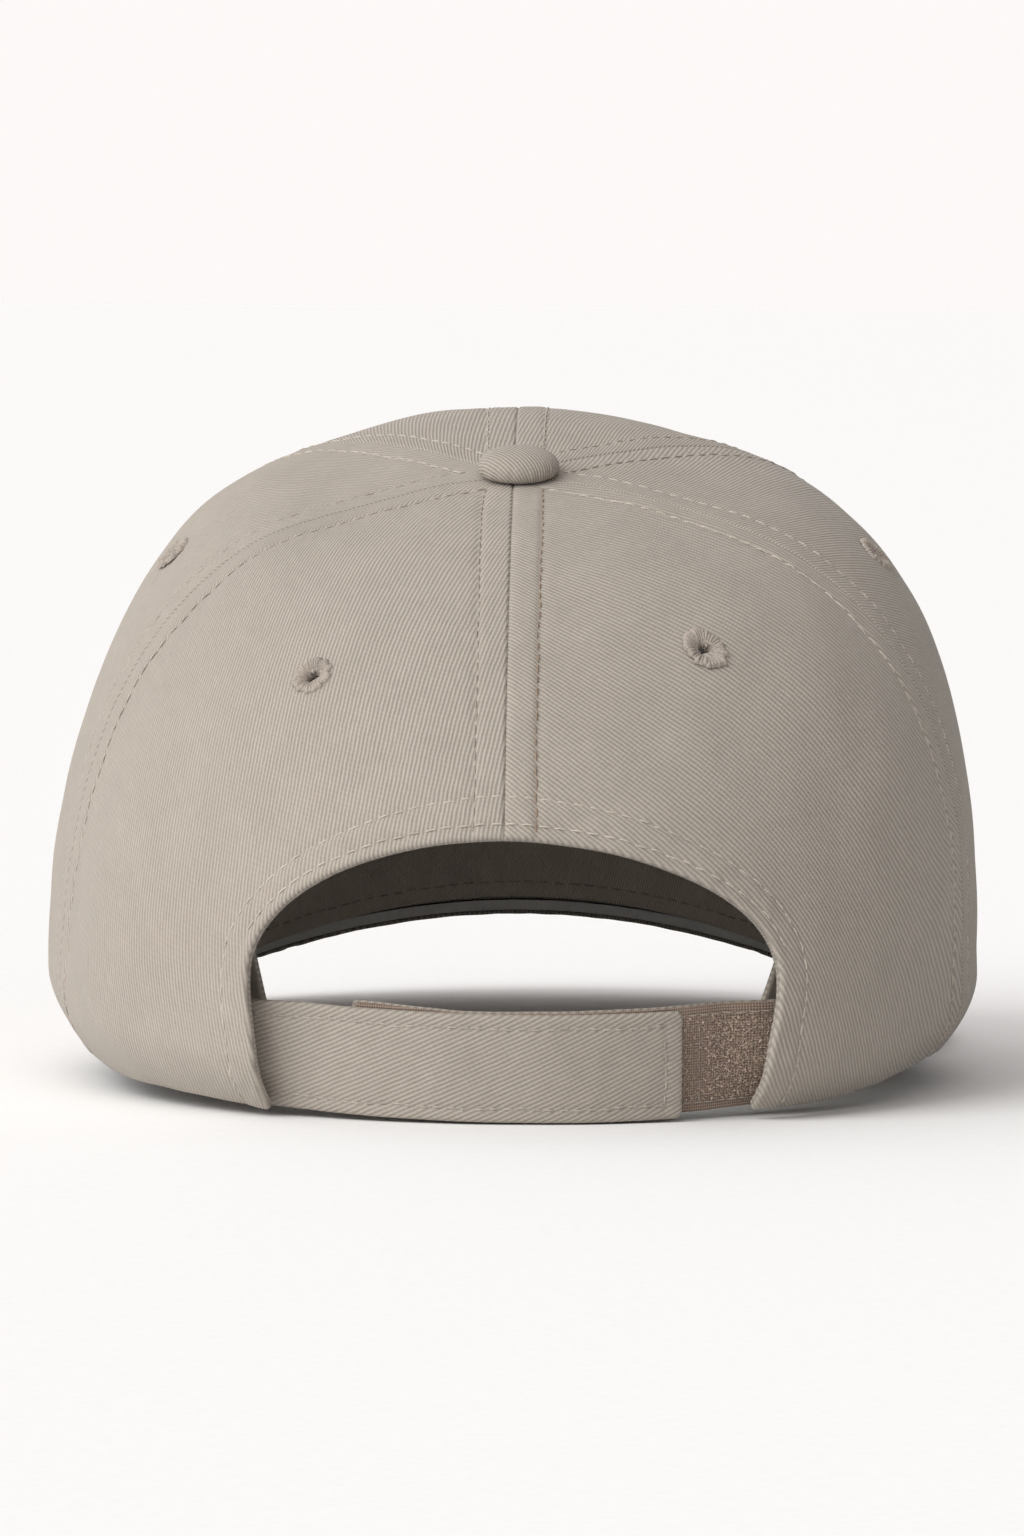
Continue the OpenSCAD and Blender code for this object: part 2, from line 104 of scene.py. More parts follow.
STRAP_R, STRAP_H = 68.0, 20.0
HOOK_T, PATCH_T, LOOP_T = 1.6, 0.8, 1.0
SEWN_GAP, LOOP_GAP = 0.1, 0.3
PATCH_R = STRAP_R - HOOK_T - SEWN_GAP
LOOP_R = PATCH_R - PATCH_T - LOOP_GAP
BACK_R = LOOP_R - LOOP_T - SEWN_GAP
HOOK_END, HOOK_HINGE, HOOK_TAIL = -28.0, 32.0, 54.0
LOOP_END, LOOP_HINGE, LOOP_TAIL = 27.0, -38.0, -50.0
PATCH_SPAN = (-26.0, 24.0)

BUTTON_R, BUTTON_BASE, BUTTON_WAIST, BUTTON_TOP = 7.75, 0.35, 1.6, 5.4
DOME_N = 2.3
VENT_R = 1.1
SIDES = {"left": 1, "right": -1}
# Angle round and height; worn cloth has let the left back one sag below the right
EYELETS = {
    "back": {1: (35.0, 77.5), -1: (37.1, 81.9)},
    "side": {1: (95.0, 92.0), -1: (95.0, 91.2)},
    "front": {1: (153.0, 96.0), -1: (153.0, 96.0)},
}
# Width and height of the worn back eyelets, pulled out of round, as a share of the others'
EYELET_PULL = {1: (1.0, 1.08), -1: (1.1, 1.3)}


# ---- shape of the crown ----

def mix(a, b, w):
    return a + (b - a) * w


def cosd(a):
    return np.cos(np.radians(a))


def sind(a):
    return np.sin(np.radians(a))


def unit(v):
    return v / np.linalg.norm(v, axis=-1, keepdims=True)


def ease(w):
    w = np.clip(w, 0, 1)
    return w * w * (3 - 2 * w)


def bell(x, width):
    return np.exp(-((x / width) ** 2))


def from_back(th):
    """Angle from the centre back, from -180 to 180."""
    return (np.asarray(th, float) + 180) % 360 - 180


def matched(a, b):
    return np.broadcast_arrays(np.asarray(a, float), np.asarray(b, float))


def profile(th, u):
    """Radius, as a share of the rim's, and height of the crown's profile."""
    n = mix(SQUARE_BACK, SQUARE_FRONT, (1 - cosd(th)) / 2)
    a = 90 * np.clip(u, 0, 1)
    r = (cosd(a) ** n + sind(a) ** n) ** (1 / n)
    low = np.clip(-u, 0, 1)
    radius = np.where(u > 0, BULGE * cosd(a) / r, BULGE - (BULGE - 1) * low**CURL)
    height = np.where(u > 0, BULGE_Z + (CROWN_H - BULGE_Z) * sind(a) / r, BULGE_Z * (1 - low))
    return radius, height


def crown(th, u):
    """Point of the crown's outer face, before the slumps and seams of worn cloth."""
    th, u = matched(th, u)
    th = th - OPEN_SLACK * bell(from_back(th) + OPEN_HALF, 13) * ease((0.6 - u) / 0.5)
    radius, height = profile(th, u)
    share = radius * cosd(th)
    across = radius * RIM_W * sind(th)
    return np.stack([
        across + DRIFT * bell(across, 45),
        RIM_L * (share + RAKE * height / CROWN_H * np.minimum(share, 0)**2),
        height * (1 - LEAN * share),
    ], -1)


def one_degree(th, u):
    """Step over the crown's surface for one degree round it."""
    return crown(th + 0.5, u) - crown(th - 0.5, u)


def per_degree(th, u):
    return np.linalg.norm(one_degree(th, u), axis=-1)


def normal(th, u):
    """Outward normal of the crown."""
    th, u = matched(th, u)
    up = crown(th, np.minimum(u + 0.01, 0.995)) - crown(th, np.maximum(u - 0.01, -1))
    return unit(np.cross(up, one_degree(th, u)))


def search(below, lo, hi, shape):
    """Where below() turns from true to false between lo and hi."""
    lo, hi = np.full(shape, lo), np.full(shape, hi)
    for _ in range(22):
        mid = (lo + hi) / 2
        low = below(mid)
        lo, hi = np.where(low, mid, lo), np.where(low, hi, mid)
    return (lo + hi) / 2


def u_at(th, z):
    th, z = matched(th, z)
    return search(lambda u: crown(th, u)[..., 2] < z, -1.0, APEX_U, th.shape)


def seat(p):
    """Height of the surface on which the front of the crown stands."""
    e = crown(VISOR_START, -1.0)
    slope = math.tan(math.radians(VISOR_SLOPE))
    return (e[0] ** 2 - p[..., 0] ** 2) / (2 * VISOR_R) - slope * (e[1] - p[..., 1])


def rim_u(th):
    """u of the crown's lower edge, which the visor lifts at the front."""
    th = np.asarray(th, float)

    def below(u):
        p = crown(th, u)
        return p[..., 2] < seat(p)

    return np.where(np.abs(from_back(th)) <= VISOR_START, -1.0, search(below, -1.0, 0.4, th.shape))


def inside_rim(th, inward):
    """Point of the rim moved inward, square to the rim in plan."""
    p = crown(th, rim_u(th))
    n = unit(np.stack([p[..., 0] / RIM_W**2, p[..., 1] / RIM_L**2], -1))
    inward = np.asarray(inward, float)[..., None]
    return np.concatenate([p[..., :2] - inward * n, p[..., 2:]], -1)


def open_side(z, grow=0.0):
    """Half angle of the back opening at height z, grown along the cloth."""
    return OPEN_HALF + grow / MM_PER_DEGREE - OPEN_TUCK * ease((OPEN_MID - z) / 18)


def open_arch(t, grow=0.0):
    return (OPEN_HALF + grow / MM_PER_DEGREE) * sind(t), OPEN_MID + (OPEN_RISE + grow) * cosd(t)


def open_path(grow_side, grow_top, count=60):
    """Round the opening from the right rim to the left rim, as th and height."""
    z = np.linspace(0, OPEN_MID, count // 2, endpoint=False)
    t = np.linspace(90, 0, count)
    grow = mix(grow_side, grow_top, ease(1 - t / 90))
    arch_th, arch_z = open_arch(t, grow)
    th = np.concatenate([open_side(z, grow_side), arch_th])
    height = np.concatenate([z, arch_z])
    return np.concatenate([-th, th[-2::-1]]), np.concatenate([height, height[-2::-1]])


def joined(pairs):
    """Pairs of arrays, joined end to end into one pair."""
    return (np.concatenate(parts) for parts in zip(*pairs))


def all_cells(grid):
    return np.ones((grid.shape[0] - 1, grid.shape[1] - 1), bool)


def ripple(p, length, seed, count=8):
    """Smooth random waves about length long, roughly from -1 to 1."""
    rng = np.random.default_rng(seed)
    total = np.zeros(p.shape[:-1])
    for _ in range(count):
        wave = unit(rng.normal(size=3)) * 2 * math.pi / (length * rng.uniform(0.7, 1.4))
        total += np.sin(p @ wave + rng.uniform(0, 2 * math.pi))
    return total / math.sqrt(count)


def distance(points, line):
    """Distance from each point to a line of short straight stretches."""
    flat = points.reshape(-1, points.shape[-1])
    start, along = line[:-1], np.diff(line, axis=0)
    length2 = (along**2).sum(-1)
    result = np.empty(len(flat))
    for i in range(0, len(flat), 3000):
        d = flat[i:i + 3000, None] - start
        t = np.clip((d * along).sum(-1) / length2, 0, 1)
        result[i:i + 3000] = np.sqrt(((d - t[..., None] * along) ** 2).sum(-1).min(1))
    return result.reshape(points.shape[:-1])


# ---- surface of the cloth ----

SEAMS = (0.0, BACK_SEAM, FRONT_SEAM, 180.0, -FRONT_SEAM, -BACK_SEAM)
SEAM_ROW = 5.7        # stitch rows beside each seam
HEM_ROW = 2.3         # inner stitch row of the arch
FACING_ROW = 7.0      # outer stitch row of the arch
SIDE_ROW = 5.7        # single row down the sides of the opening
TURNED_R = 0.8        # radius of the turned edges


def seam_line(th, count=110):
    return crown(th, np.linspace(rim_u(th), APEX_U, count))


def rim_line(count=200):
    th = np.linspace(open_side(0), 360 - open_side(0), count)
    return crown(th, rim_u(th))


def crown_line(th, z):
    return crown(th, u_at(th, z))


SEAM_LINES = [seam_line(th) for th in SEAMS]
OPENING_LINE = crown_line(*open_path(0, 0))
FACING_LINE = crown_line(*open_path(SIDE_ROW, FACING_ROW))
RIM_LINE = rim_line()

# How a worn cap differs from its pattern: soft bulges and hollows of the crown,
# each with its centre across and up, its reach and how far it stands out
SLUMP = (
    (90, 18, 26, 1.0),
    (80, 62, 24, -1.8),
    (66, 88, 20, -1.4),
    (-66, 88, 22, 0.2),
    (-90, 20, 24, -0.6),
    (34, 106, 15, -1.2),
    (-34, 106, 15, -0.9),
)


def slump(p):
    """How far worn cloth stands out from its pattern, in millimetres."""
    total = np.zeros(p.shape[:-1])
    for x, z, reach, out in SLUMP:
        total += out * bell(p[..., 0] - x, reach) * bell(p[..., 2] - z, reach)
    return total + 0.45 * ripple(p, 55, 3) + 0.12 * ripple(p, 17, 5)


def rolled(d, radius):
    """How far a surface drops at distance d from its rounded edge."""
    return radius * (1 - np.sqrt(1 - np.clip(1 - d / radius, 0, 1) ** 2))


def relief(p):
    """How far seams, hems and stitch rows raise or sink the outer face."""
    seam = np.min([distance(p, line) for line in SEAM_LINES], axis=0)
    edge = distance(p, OPENING_LINE)
    facing = distance(p, FACING_LINE)
    rim = distance(p, RIM_LINE)
    # Seam allowances, thicker at the back, where those of the centre lie to one side
    back = ease((p[..., 1] + 30) / 60)
    leans = 0.14 * ease(0.5 - p[..., 0] / 0.6) * bell(p[..., 0], 9) * back
    h = (mix(0.12, 0.22, back) + leans) * ease((SEAM_ROW + 0.5 - seam) / 1.2)
    # Valleys of the seam and of its stitch rows, and the puckers round them
    h -= mix(0.30, 0.42, back) * bell(seam, 0.24)
    h -= mix(0.14, 0.24, back) * bell(seam - SEAM_ROW, 0.55)
    h += bell(seam - SEAM_ROW, 3.5) * 0.09 * ripple(p, 4.5, 11)
    # Facing of the opening, its two stitch rows and their puckers
    h += 0.25 * ease((FACING_ROW - edge) / 1.2)
    h -= 0.28 * bell(facing, 0.6)
    h -= 0.24 * bell(edge - HEM_ROW, 0.6) * ease((p[..., 2] - OPEN_MID) / 8)
    h += 0.12 * bell(edge - 4, 3) * ripple(p, 5.5, 13)
    return h - (rolled(edge, TURNED_R) + rolled(rim, TURNED_R))


def cloth_at(th, u):
    """Point and normal of the panels' outer face."""
    p, n = crown(th, u), normal(th, u)
    return p + n * (slump(p) + relief(p))[..., None], n


def layer_at(th, u, depth):
    """Point of an inner layer, which follows the crown's soft shape."""
    p = crown(th, u)
    return p + normal(th, u) * (slump(p) - depth)[..., None]


# ---- meshes ----

def add_object(name, data):
    obj = bpy.data.objects.new(name, data)
    bpy.context.scene.collection.objects.link(obj)
    return obj


def new_piece(name, verts, faces, finish, cloth=None, nodes=(), rides="cap"):
    """Piece of points in the rim frame. cloth is the weave's place, in mm, nodes the
    CAD nodes it replaces, and rides its body, or the hinge that it is meant to bend over; such a
    piece is left unbent and on no body."""
    material, slot = FINISHES[finish]
    mesh = bpy.data.meshes.new(name)
    mesh.from_pydata(place(verts.reshape(-1, 3)).tolist(), [], faces)
    mesh.validate()
    if cloth is not None:
        layer = mesh.attributes.new("cloth", "FLOAT_VECTOR", "POINT")
        flat = np.zeros((len(mesh.vertices), 3), np.float32)
        flat[:, :2] = cloth.reshape(-1, 2)
        layer.data.foreach_set("vector", flat.ravel())
    mesh.polygons.foreach_set("use_smooth", [True] * len(mesh.polygons))
    mesh.materials.append(material)
    obj = add_object(name, mesh)
    if nodes:
        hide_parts(*nodes)
    if isinstance(rides, str):
        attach(obj, rides)
    else:
        bend_across(obj, *rides)
    return obj


def shell_piece(name, outer, inner, finish, cloth=None, keep=None, flip=False, **how):
    """Closed sheet between two grids of the same shape. keep marks the cells that
    are cloth; the rest are holes with walls."""
    rows, cols = outer.shape[:2]
    if keep is None:
        keep = all_cells(outer)
    index = np.arange(rows * cols).reshape(rows, cols)
    under = rows * cols
    r, c = np.nonzero(keep)
    top = np.stack([index[r, c], index[r + 1, c], index[r + 1, c + 1], index[r, c + 1]], 1)
    faces = [top, top[:, ::-1] + under]
    padded = np.pad(keep, 1)
    for dr, dc, k0, k1 in ((-1, 0, 3, 0), (0, 1, 2, 3), (1, 0, 1, 2), (0, -1, 0, 1)):
        bare = ~padded[1 + r + dr, 1 + c + dc]
        a, b = top[bare, k0], top[bare, k1]
        faces.append(np.stack([b, a, a + under, b + under], 1))
    faces = np.concatenate(faces)
    if flip:
        faces = faces[:, ::-1]
    if cloth is not None:
        cloth = np.concatenate([cloth.reshape(-1, 2)] * 2)
    verts = np.concatenate([outer.reshape(-1, 3), inner.reshape(-1, 3)])
    return new_piece(name, verts, faces.tolist(), finish, cloth, **how)


def ring_faces(rows, cols, base=0):
    """Faces between closed rings, of cols points each; base is their first point."""
    k = np.arange(rows - 1)[:, None] * cols + base
    i, j = np.arange(cols), (np.arange(cols) + 1) % cols
    return np.stack([k + i, k + cols + i, k + cols + j, k + j], -1)


def sweep(name, centre, up, radius, finish, sides=6, **how):
    """One mesh of many short rods; centre is rods x rings x 3, up the same or one
    direction per rod, and radius one number, or one per ring."""
    rods, rings = centre.shape[:2]
    along = unit(np.gradient(centre, axis=1))
    up = np.broadcast_to(up if up.ndim == 3 else up[:, None], centre.shape)
    side = unit(np.cross(along, up))
    up = np.cross(side, along)
    turn = np.arange(sides) * 2 * math.pi / sides
    radius = np.broadcast_to(radius, (rods, rings))[..., None, None]
    ring = side[:, :, None] * np.cos(turn)[:, None] + up[:, :, None] * np.sin(turn)[:, None]
    verts = centre[:, :, None] + radius * ring
    base = np.arange(rods)[:, None] * rings * sides
    quads = ring_faces(rings, sides, base[:, :, None])
    first = base + np.arange(sides)
    last = (base + rings * sides - 1) - np.arange(sides)
    faces = quads.reshape(-1, 4).tolist() + first.tolist() + last.tolist()
    return new_piece(name, verts, faces, finish, **how)


def lengths(path):
    """Length along a path, or each row of paths, up to each of its points."""
    steps = np.linalg.norm(np.diff(path, axis=-2), axis=-1)
    return np.concatenate([0 * steps[..., :1], np.cumsum(steps, -1)], -1)


def resample(path, step):
    """Places along a path every step millimetres, as fractions of its points."""
    length = lengths(path)
    return np.interp(np.arange(0, length[-1], step), length, np.arange(len(path)))


def along_path(values, where):
    """Values of a path at fractional places."""
    i = np.arange(len(values))
    return np.stack([np.interp(where, i, values[:, k]) for k in range(values.shape[1])], -1)


STITCH, STITCH_GAP = 2.6, 0.45
STITCH_R = 0.19
STITCH_TAPER = STITCH_R * np.array([0.5, 0.85, 1, 1, 1, 0.85, 0.5])
STITCH_SINKS, STITCH_RISES = -0.16, 0.13     # centre line at its ends and its middle


def stitches(points, normals, seed, stitch=STITCH, gap=STITCH_GAP, wander=0.07):
    """Centre lines and up directions of the stitches of one row."""
    rng = np.random.default_rng(seed)
    step = 0.25
    where = resample(points, step)
    dense, up = along_path(points, where), unit(along_path(normals, where))
    per, length = (stitch + gap) / step, stitch / step
    starts = np.arange(0, len(where) - 1 - length, per)
    count = len(starts)
    starts = starts + rng.uniform(-0.6, 0.6, count)
    t = np.linspace(0, 1, len(STITCH_TAPER))
    at = starts[:, None] + t * length * rng.uniform(0.92, 1.05, (count, 1))
    at = np.clip(at, 0, len(where) - 1)
    centre = along_path(dense, at.ravel()).reshape(*at.shape, 3)
    ups = unit(along_path(up, at.ravel())).reshape(*at.shape, 3)
    side = unit(np.cross(np.gradient(centre, axis=1), ups))
    arch = mix(STITCH_SINKS, STITCH_RISES, np.sin(math.pi * t) ** 0.6)
    skew = rng.normal(0, wander, (count, 1)) + rng.normal(0, wander, (count, 1)) * (t - 0.5)
    return centre + ups * arch[:, None] + side * skew[..., None], ups


def stitch_piece(name, rows, finish="thread", radius=1.0, rides="cap", **options):
    """One piece of thread for rows, each a pair of points and normals."""
    centre, up = joined(stitches(p, n, 101 + 7 * i, **options) for i, (p, n) in enumerate(rows))
    return sweep(name, centre, up, STITCH_TAPER * radius, finish, rides=rides)


# ---- materials ----

WAVES_PER_UNIT = 20        # in the wave texture, over 2 pi


class Nodes:
    """Small helper that builds a tree of shader nodes."""

    def __init__(self, tree):
        self.tree = tree

    def put(self, socket, value):
        if isinstance(value, bpy.types.NodeSocket):
            self.tree.links.new(value, socket)
        else:
            socket.default_value = value

    def node(self, kind, inputs=None, **settings):
        made = self.tree.nodes.new("ShaderNode" + kind)
        for key, value in settings.items():
            setattr(made, key, value)
        for key, value in (inputs or {}).items():
            self.put(made.inputs[key], value)
        return made

    def math(self, operation, a, b):
        return self.node("Math", {0: a, 1: b}, operation=operation).outputs[0]


class Shader(Nodes):
    """The nodes of one material."""

    def __init__(self, name, colour, roughness, **settings):
        self.material = bpy.data.materials.new(name)
        self.material.use_nodes = True
        super().__init__(self.material.node_tree)
        self.bsdf = self.tree.nodes["Principled BSDF"]
        self.bsdf.inputs["Base Color"].default_value = (*colour, 1)
        self.bsdf.inputs["Roughness"].default_value = roughness
        for key, value in settings.items():
            self.bsdf.inputs[key.replace("_", " ")].default_value = value

    def cloth(self, across=1.0, along=1.0):
        """Place in the weave, in millimetres, stretched by the two factors."""
        place_in = self.node("Attribute", attribute_name="cloth").outputs["Vector"]
        return self.node("Mapping", {"Vector": place_in, "Scale": (across, along, 1)}).outputs[0]

    def metres(self):
        """Place in the piece, in metres."""
        return self.node("TexCoord").outputs["Object"]

    def wave(self, vector, pitch, direction="X", distortion=0.0, detail=0.0, detail_scale=1.0):
        """Sine waves one pitch long."""
        made = self.node("TexWave", {
            "Vector": vector, "Scale": 2 * math.pi / WAVES_PER_UNIT / pitch,
            "Distortion": distortion, "Detail": detail, "Detail Scale": detail_scale},
            bands_direction=direction)
        return made.outputs["Fac"]

    def noise(self, vector, scale, detail=2.0):
        made = self.node("TexNoise", {"Vector": vector, "Scale": scale, "Detail": detail})
        return made.outputs["Fac"]

    def blend_of(self, *parts):
        """Weighted sum of values, given as pairs of value and weight."""
        total = None
        for value, weight in parts:
            term = self.math("MULTIPLY", value, weight)
            total = term if total is None else self.math("ADD", total, term)
        return total

    def ramp(self, value, low, high, dark, light):
        made = self.node("ValToRGB", {"Fac": value})
        for stop, at, colour in zip(made.color_ramp.elements, (low, high), (dark, light)):
            stop.position, stop.color = at, (*colour, 1)
        return made.outputs["Color"]

    def tint(self, colour, value, low, high):
        """Colour darkened or lightened by a factor that follows value."""
        factor = self.node("MapRange", {"Value": value, "From Min": 0.25, "From Max": 0.75,
                                        "To Min": low, "To Max": high}).outputs[0]
        grey = self.node("CombineColor", {0: factor, 1: factor, 2: factor}).outputs[0]
        made = self.node("Mix", {"Factor": 1.0, 6: colour, 7: grey},
                         data_type="RGBA", blend_type="MULTIPLY")
        return made.outputs[2]

    def finish(self, colour, height, depth):
        """Base colour, and bumps depth millimetres deep."""
        self.put(self.bsdf.inputs["Base Color"], colour)
        bump = self.node("Bump", {"Height": height, "Distance": depth * MM, "Strength": 1.0})
        self.put(self.bsdf.inputs["Normal"], bump.outputs[0])
        return self.material


def shade(colour, factor):
    return tuple(c * factor for c in colour)


def twill(name, colour, pitch=0.78, depth=0.15, contrast=1.0):
    """Diagonal ribs of a cotton twill, with its floats, slubs and soft blotches."""
    s = Shader(name, colour, 0.88, Sheen_Weight=0.12, Sheen_Roughness=0.45)
    ribs = s.wave(s.cloth(), pitch, distortion=1.3, detail=2.5, detail_scale=0.6)
    floats = s.wave(s.cloth(0.5, 1.0), pitch * 1.35, "Y", distortion=0.8, detail=1.0)
    slubs = s.noise(s.cloth(1.0, 0.16), 1 / 0.45)
    fuzz = s.noise(s.cloth(), 1 / 0.28, 3.0)
    blotch = s.noise(s.cloth(), 1 / 9.0, 3.0)
    height = s.blend_of((ribs, 0.62), (floats, 0.09), (slubs, 0.17), (fuzz, 0.12))
    colour_by_height = s.ramp(height, 0.22, 0.78, shade(colour, 1 - 0.26 * contrast),
                              shade(colour, 1 + 0.11 * contrast))
    streaked = s.tint(colour_by_height, slubs, 0.95, 1.05)
    return s.finish(s.tint(streaked, blotch, 0.965, 1.03), height, depth)


def woven(name, colour, pitch, depth, contrast=0.2):
    """Plain weave, such as tape or buckram."""
    s = Shader(name, colour, 0.85)
    warp = s.wave(s.cloth(), pitch, distortion=0.5, detail=1.0)
    weft = s.wave(s.cloth(), pitch, "Y", distortion=0.5, detail=1.0)
    fuzz = s.noise(s.cloth(), 1 / 0.4, 3.0)
    height = s.blend_of((warp, 0.4), (weft, 0.4), (fuzz, 0.2))
    body = s.ramp(height, 0.25, 0.8, shade(colour, 1 - contrast), shade(colour, 1 + contrast / 2))
    return s.finish(s.tint(body, fuzz, 0.95, 1.05), height, depth)


def thread(name, colour):
    """Twisted thread, unevenly dyed."""
    s = Shader(name, colour, 0.55, Sheen_Weight=0.2, Sheen_Roughness=0.4)
    twist, patchy = s.noise(s.metres(), 2600.0), s.noise(s.metres(), 160.0, 1.0)
    body = s.ramp(twist, 0.3, 0.7, shade(colour, 0.78), shade(colour, 1.12))
    return s.finish(s.tint(body, patchy, 0.86, 1.14), twist, 0.05)


def grainy(name, colour, roughness, scale, detail, depth, dark, light=1.0, ends=(0.3, 0.7),
           **settings):
    """Fine grain between a darker and a lighter shade of one colour."""
    s = Shader(name, colour, roughness, **settings)
    grain = s.noise(s.metres(), scale, detail)
    body = s.ramp(grain, *ends, shade(colour, dark), shade(colour, light))
    return s.finish(body, grain, depth)


def nylon(name, colour):
    """Glossy fibre of the loops and hooks."""
    return grainy(name, colour, 0.28, 2200.0, 1.0, 0.01, 0.45, 1.7, (0.4, 0.65),
                  Specular_IOR_Level=0.7)


def foam(name, colour):
    s = Shader(name, colour, 0.95)
    cells = s.node("TexVoronoi", {"Vector": s.metres(), "Scale": 1800.0}).outputs["Distance"]
    return s.finish(s.ramp(cells, 0.0, 0.6, shade(colour, 0.75), colour), cells, 0.15)


STONE = (0.375, 0.333, 0.287)
THREADS = {
    "thread": ("sewing_thread", (0.43, 0.375, 0.32)),
    "cream_thread": ("cream_thread", (0.50, 0.45, 0.385)),
    "tan_thread": ("tan_thread", (0.27, 0.19, 0.135)),
    "pale_thread": ("embroidery_thread", (0.372, 0.32, 0.275)),
    "grey_thread": ("grey_thread", (0.30, 0.26, 0.22)),
    "strap_thread": ("strap_thread", (0.385, 0.34, 0.295)),
}
# Each finish is a material and the record's slot of the pieces that have it
FINISHES = {
    "twill": (twill("cotton_twill", STONE), "twill"),
    "strap": (twill("strap_twill", shade(STONE, 0.97), 0.77, 0.14), "twill"),
    "button": (twill("button_twill", shade(STONE, 0.96), 0.7, 0.15, 1.2), "twill"),
    # The sweatband's light tan is partly its own colour and partly painted light: it is far lighter
    # than the cloth so that its ends beside the opening, which lie in shade, look lit.
    "band": (twill("sweatband_twill", (0.62, 0.555, 0.475), 0.55, 0.08), "sweatband"),
    **{key: (thread(*made), "thread") for key, made in THREADS.items()},
    "tape": (woven("seam_tape", (0.42, 0.38, 0.33), 0.5, 0.08), "seam_tape"),
    "buckram": (woven("buckram", (0.80, 0.78, 0.75), 1.3, 0.3, 0.25), "buckram"),
    "loop_border": (woven("loop_selvedge", (0.315, 0.235, 0.185), 0.5, 0.14, 0.5), "loop_tape"),
    "loop_fibre": (nylon("loop_fibre", (0.62, 0.49, 0.40)), "loop_tape"),
    "hook_ground": (grainy("hook_ground", (0.24, 0.20, 0.17), 0.6, 3500.0, 3.0, 0.12, 0.6, 1.35,
                           Sheen_Weight=0.5, Sheen_Roughness=0.35), "hook_tape"),
    "hook_fibre": (nylon("hook_fibre", (0.42, 0.36, 0.30)), "hook_tape"),
    "foam": (foam("band_foam", (0.78, 0.77, 0.74)), "foam"),
}
METAL = grainy("button_steel", (0.62, 0.62, 0.64), 0.35, 700.0, 3.0, 0.02, 0.85, Metallic=1.0)
BOARD = grainy("visor_polyethylene", (0.82, 0.82, 0.80), 0.5, 900.0, 4.0, 0.03, 0.93)


def recoat(material, *nodes):
    """Gives CAD solids that are shown as they are a better material."""
    for node in nodes:
        materials = frame["nodes"][node].data.materials
        materials.clear()
        materials.append(material)


# ---- crown panels ----

# Distances of the grid's lines from seams, the opening and the rim, closer at stitch rows
SEAM_STEPS = [0, 0.12, 0.3, 0.55, 0.9, 1.5, 2.4, 3.5, 4.6, 5.2, 5.7, 6.2, 6.8, 7.6]
EDGE_STEPS = [0, 0.12, 0.35, 0.7, 1.2, 1.8, 2.3, 2.8, 3.5, 4.5, 5.2, 5.7, 6.3, 7.0, 7.7, 8.6]
RIM_STEPS = [0, 0.12, 0.35, 0.8, 1.5]
CLOTH_STEP = 1.0
UPPER_LENGTH = 95.0


def spaced(total, near, far, count):
    """Places along rows of the given lengths: the near steps from one end, even
    ones between, and the far steps from the other end."""
    total = np.atleast_1d(np.asarray(total, float))[:, None]
    near, far = np.array(near, float), np.array(far, float)
    near = near * np.minimum(1, 0.45 * total / max(near[-1], 1e-6))
    far = far * np.minimum(1, 0.45 * total / max(far[-1], 1e-6))
    between = np.linspace(near[:, -1], total[:, 0] - far[:, -1], count + 2, axis=1)[:, 1:-1]
    return np.concatenate([near, between, (total - far)[:, ::-1]], 1)


def at_distance(make, q, near, far, count):
    """Parameters q of points spaced() along each row that make(q) draws; q is rows x samples."""
    s = lengths(make(q))
    want = spaced(s[:, -1], near, far, count)
    return np.stack([np.interp(w, a, b) for w, a, b in zip(want, s, q)])


def lower_rows(th, w):
    """u at share w of the way from the rim to the level of the opening's middle."""
    rim_z = crown(th, rim_u(th))[..., 2]
    return u_at(th, mix(rim_z, OPEN_MID, w))


def upper_rows(th, w):
    return mix(u_at(th, OPEN_MID), APEX_U, w)


LOW_W = spaced(OPEN_MID, RIM_STEPS, [0], 24)[0] / OPEN_MID


def plain_grid(th_from, th_to):
    """Grid of th and u over a panel that runs from the rim to the apex."""
    high_w = np.linspace(0, 1, int(UPPER_LENGTH / CLOTH_STEP))[1:]
    count = 62
    grids = []
    for rows, w in ((lower_rows, LOW_W), (upper_rows, high_w)):
        w = w[:, None]
        q = np.linspace(th_from, th_to, 70)[None] + 0 * w
        th = at_distance(lambda q: crown(q, rows(q, w)), q, SEAM_STEPS, SEAM_STEPS, count)
        grids.append((th, rows(th, w)))
    th, u = joined(grids)
    return th, u, all_cells(th)


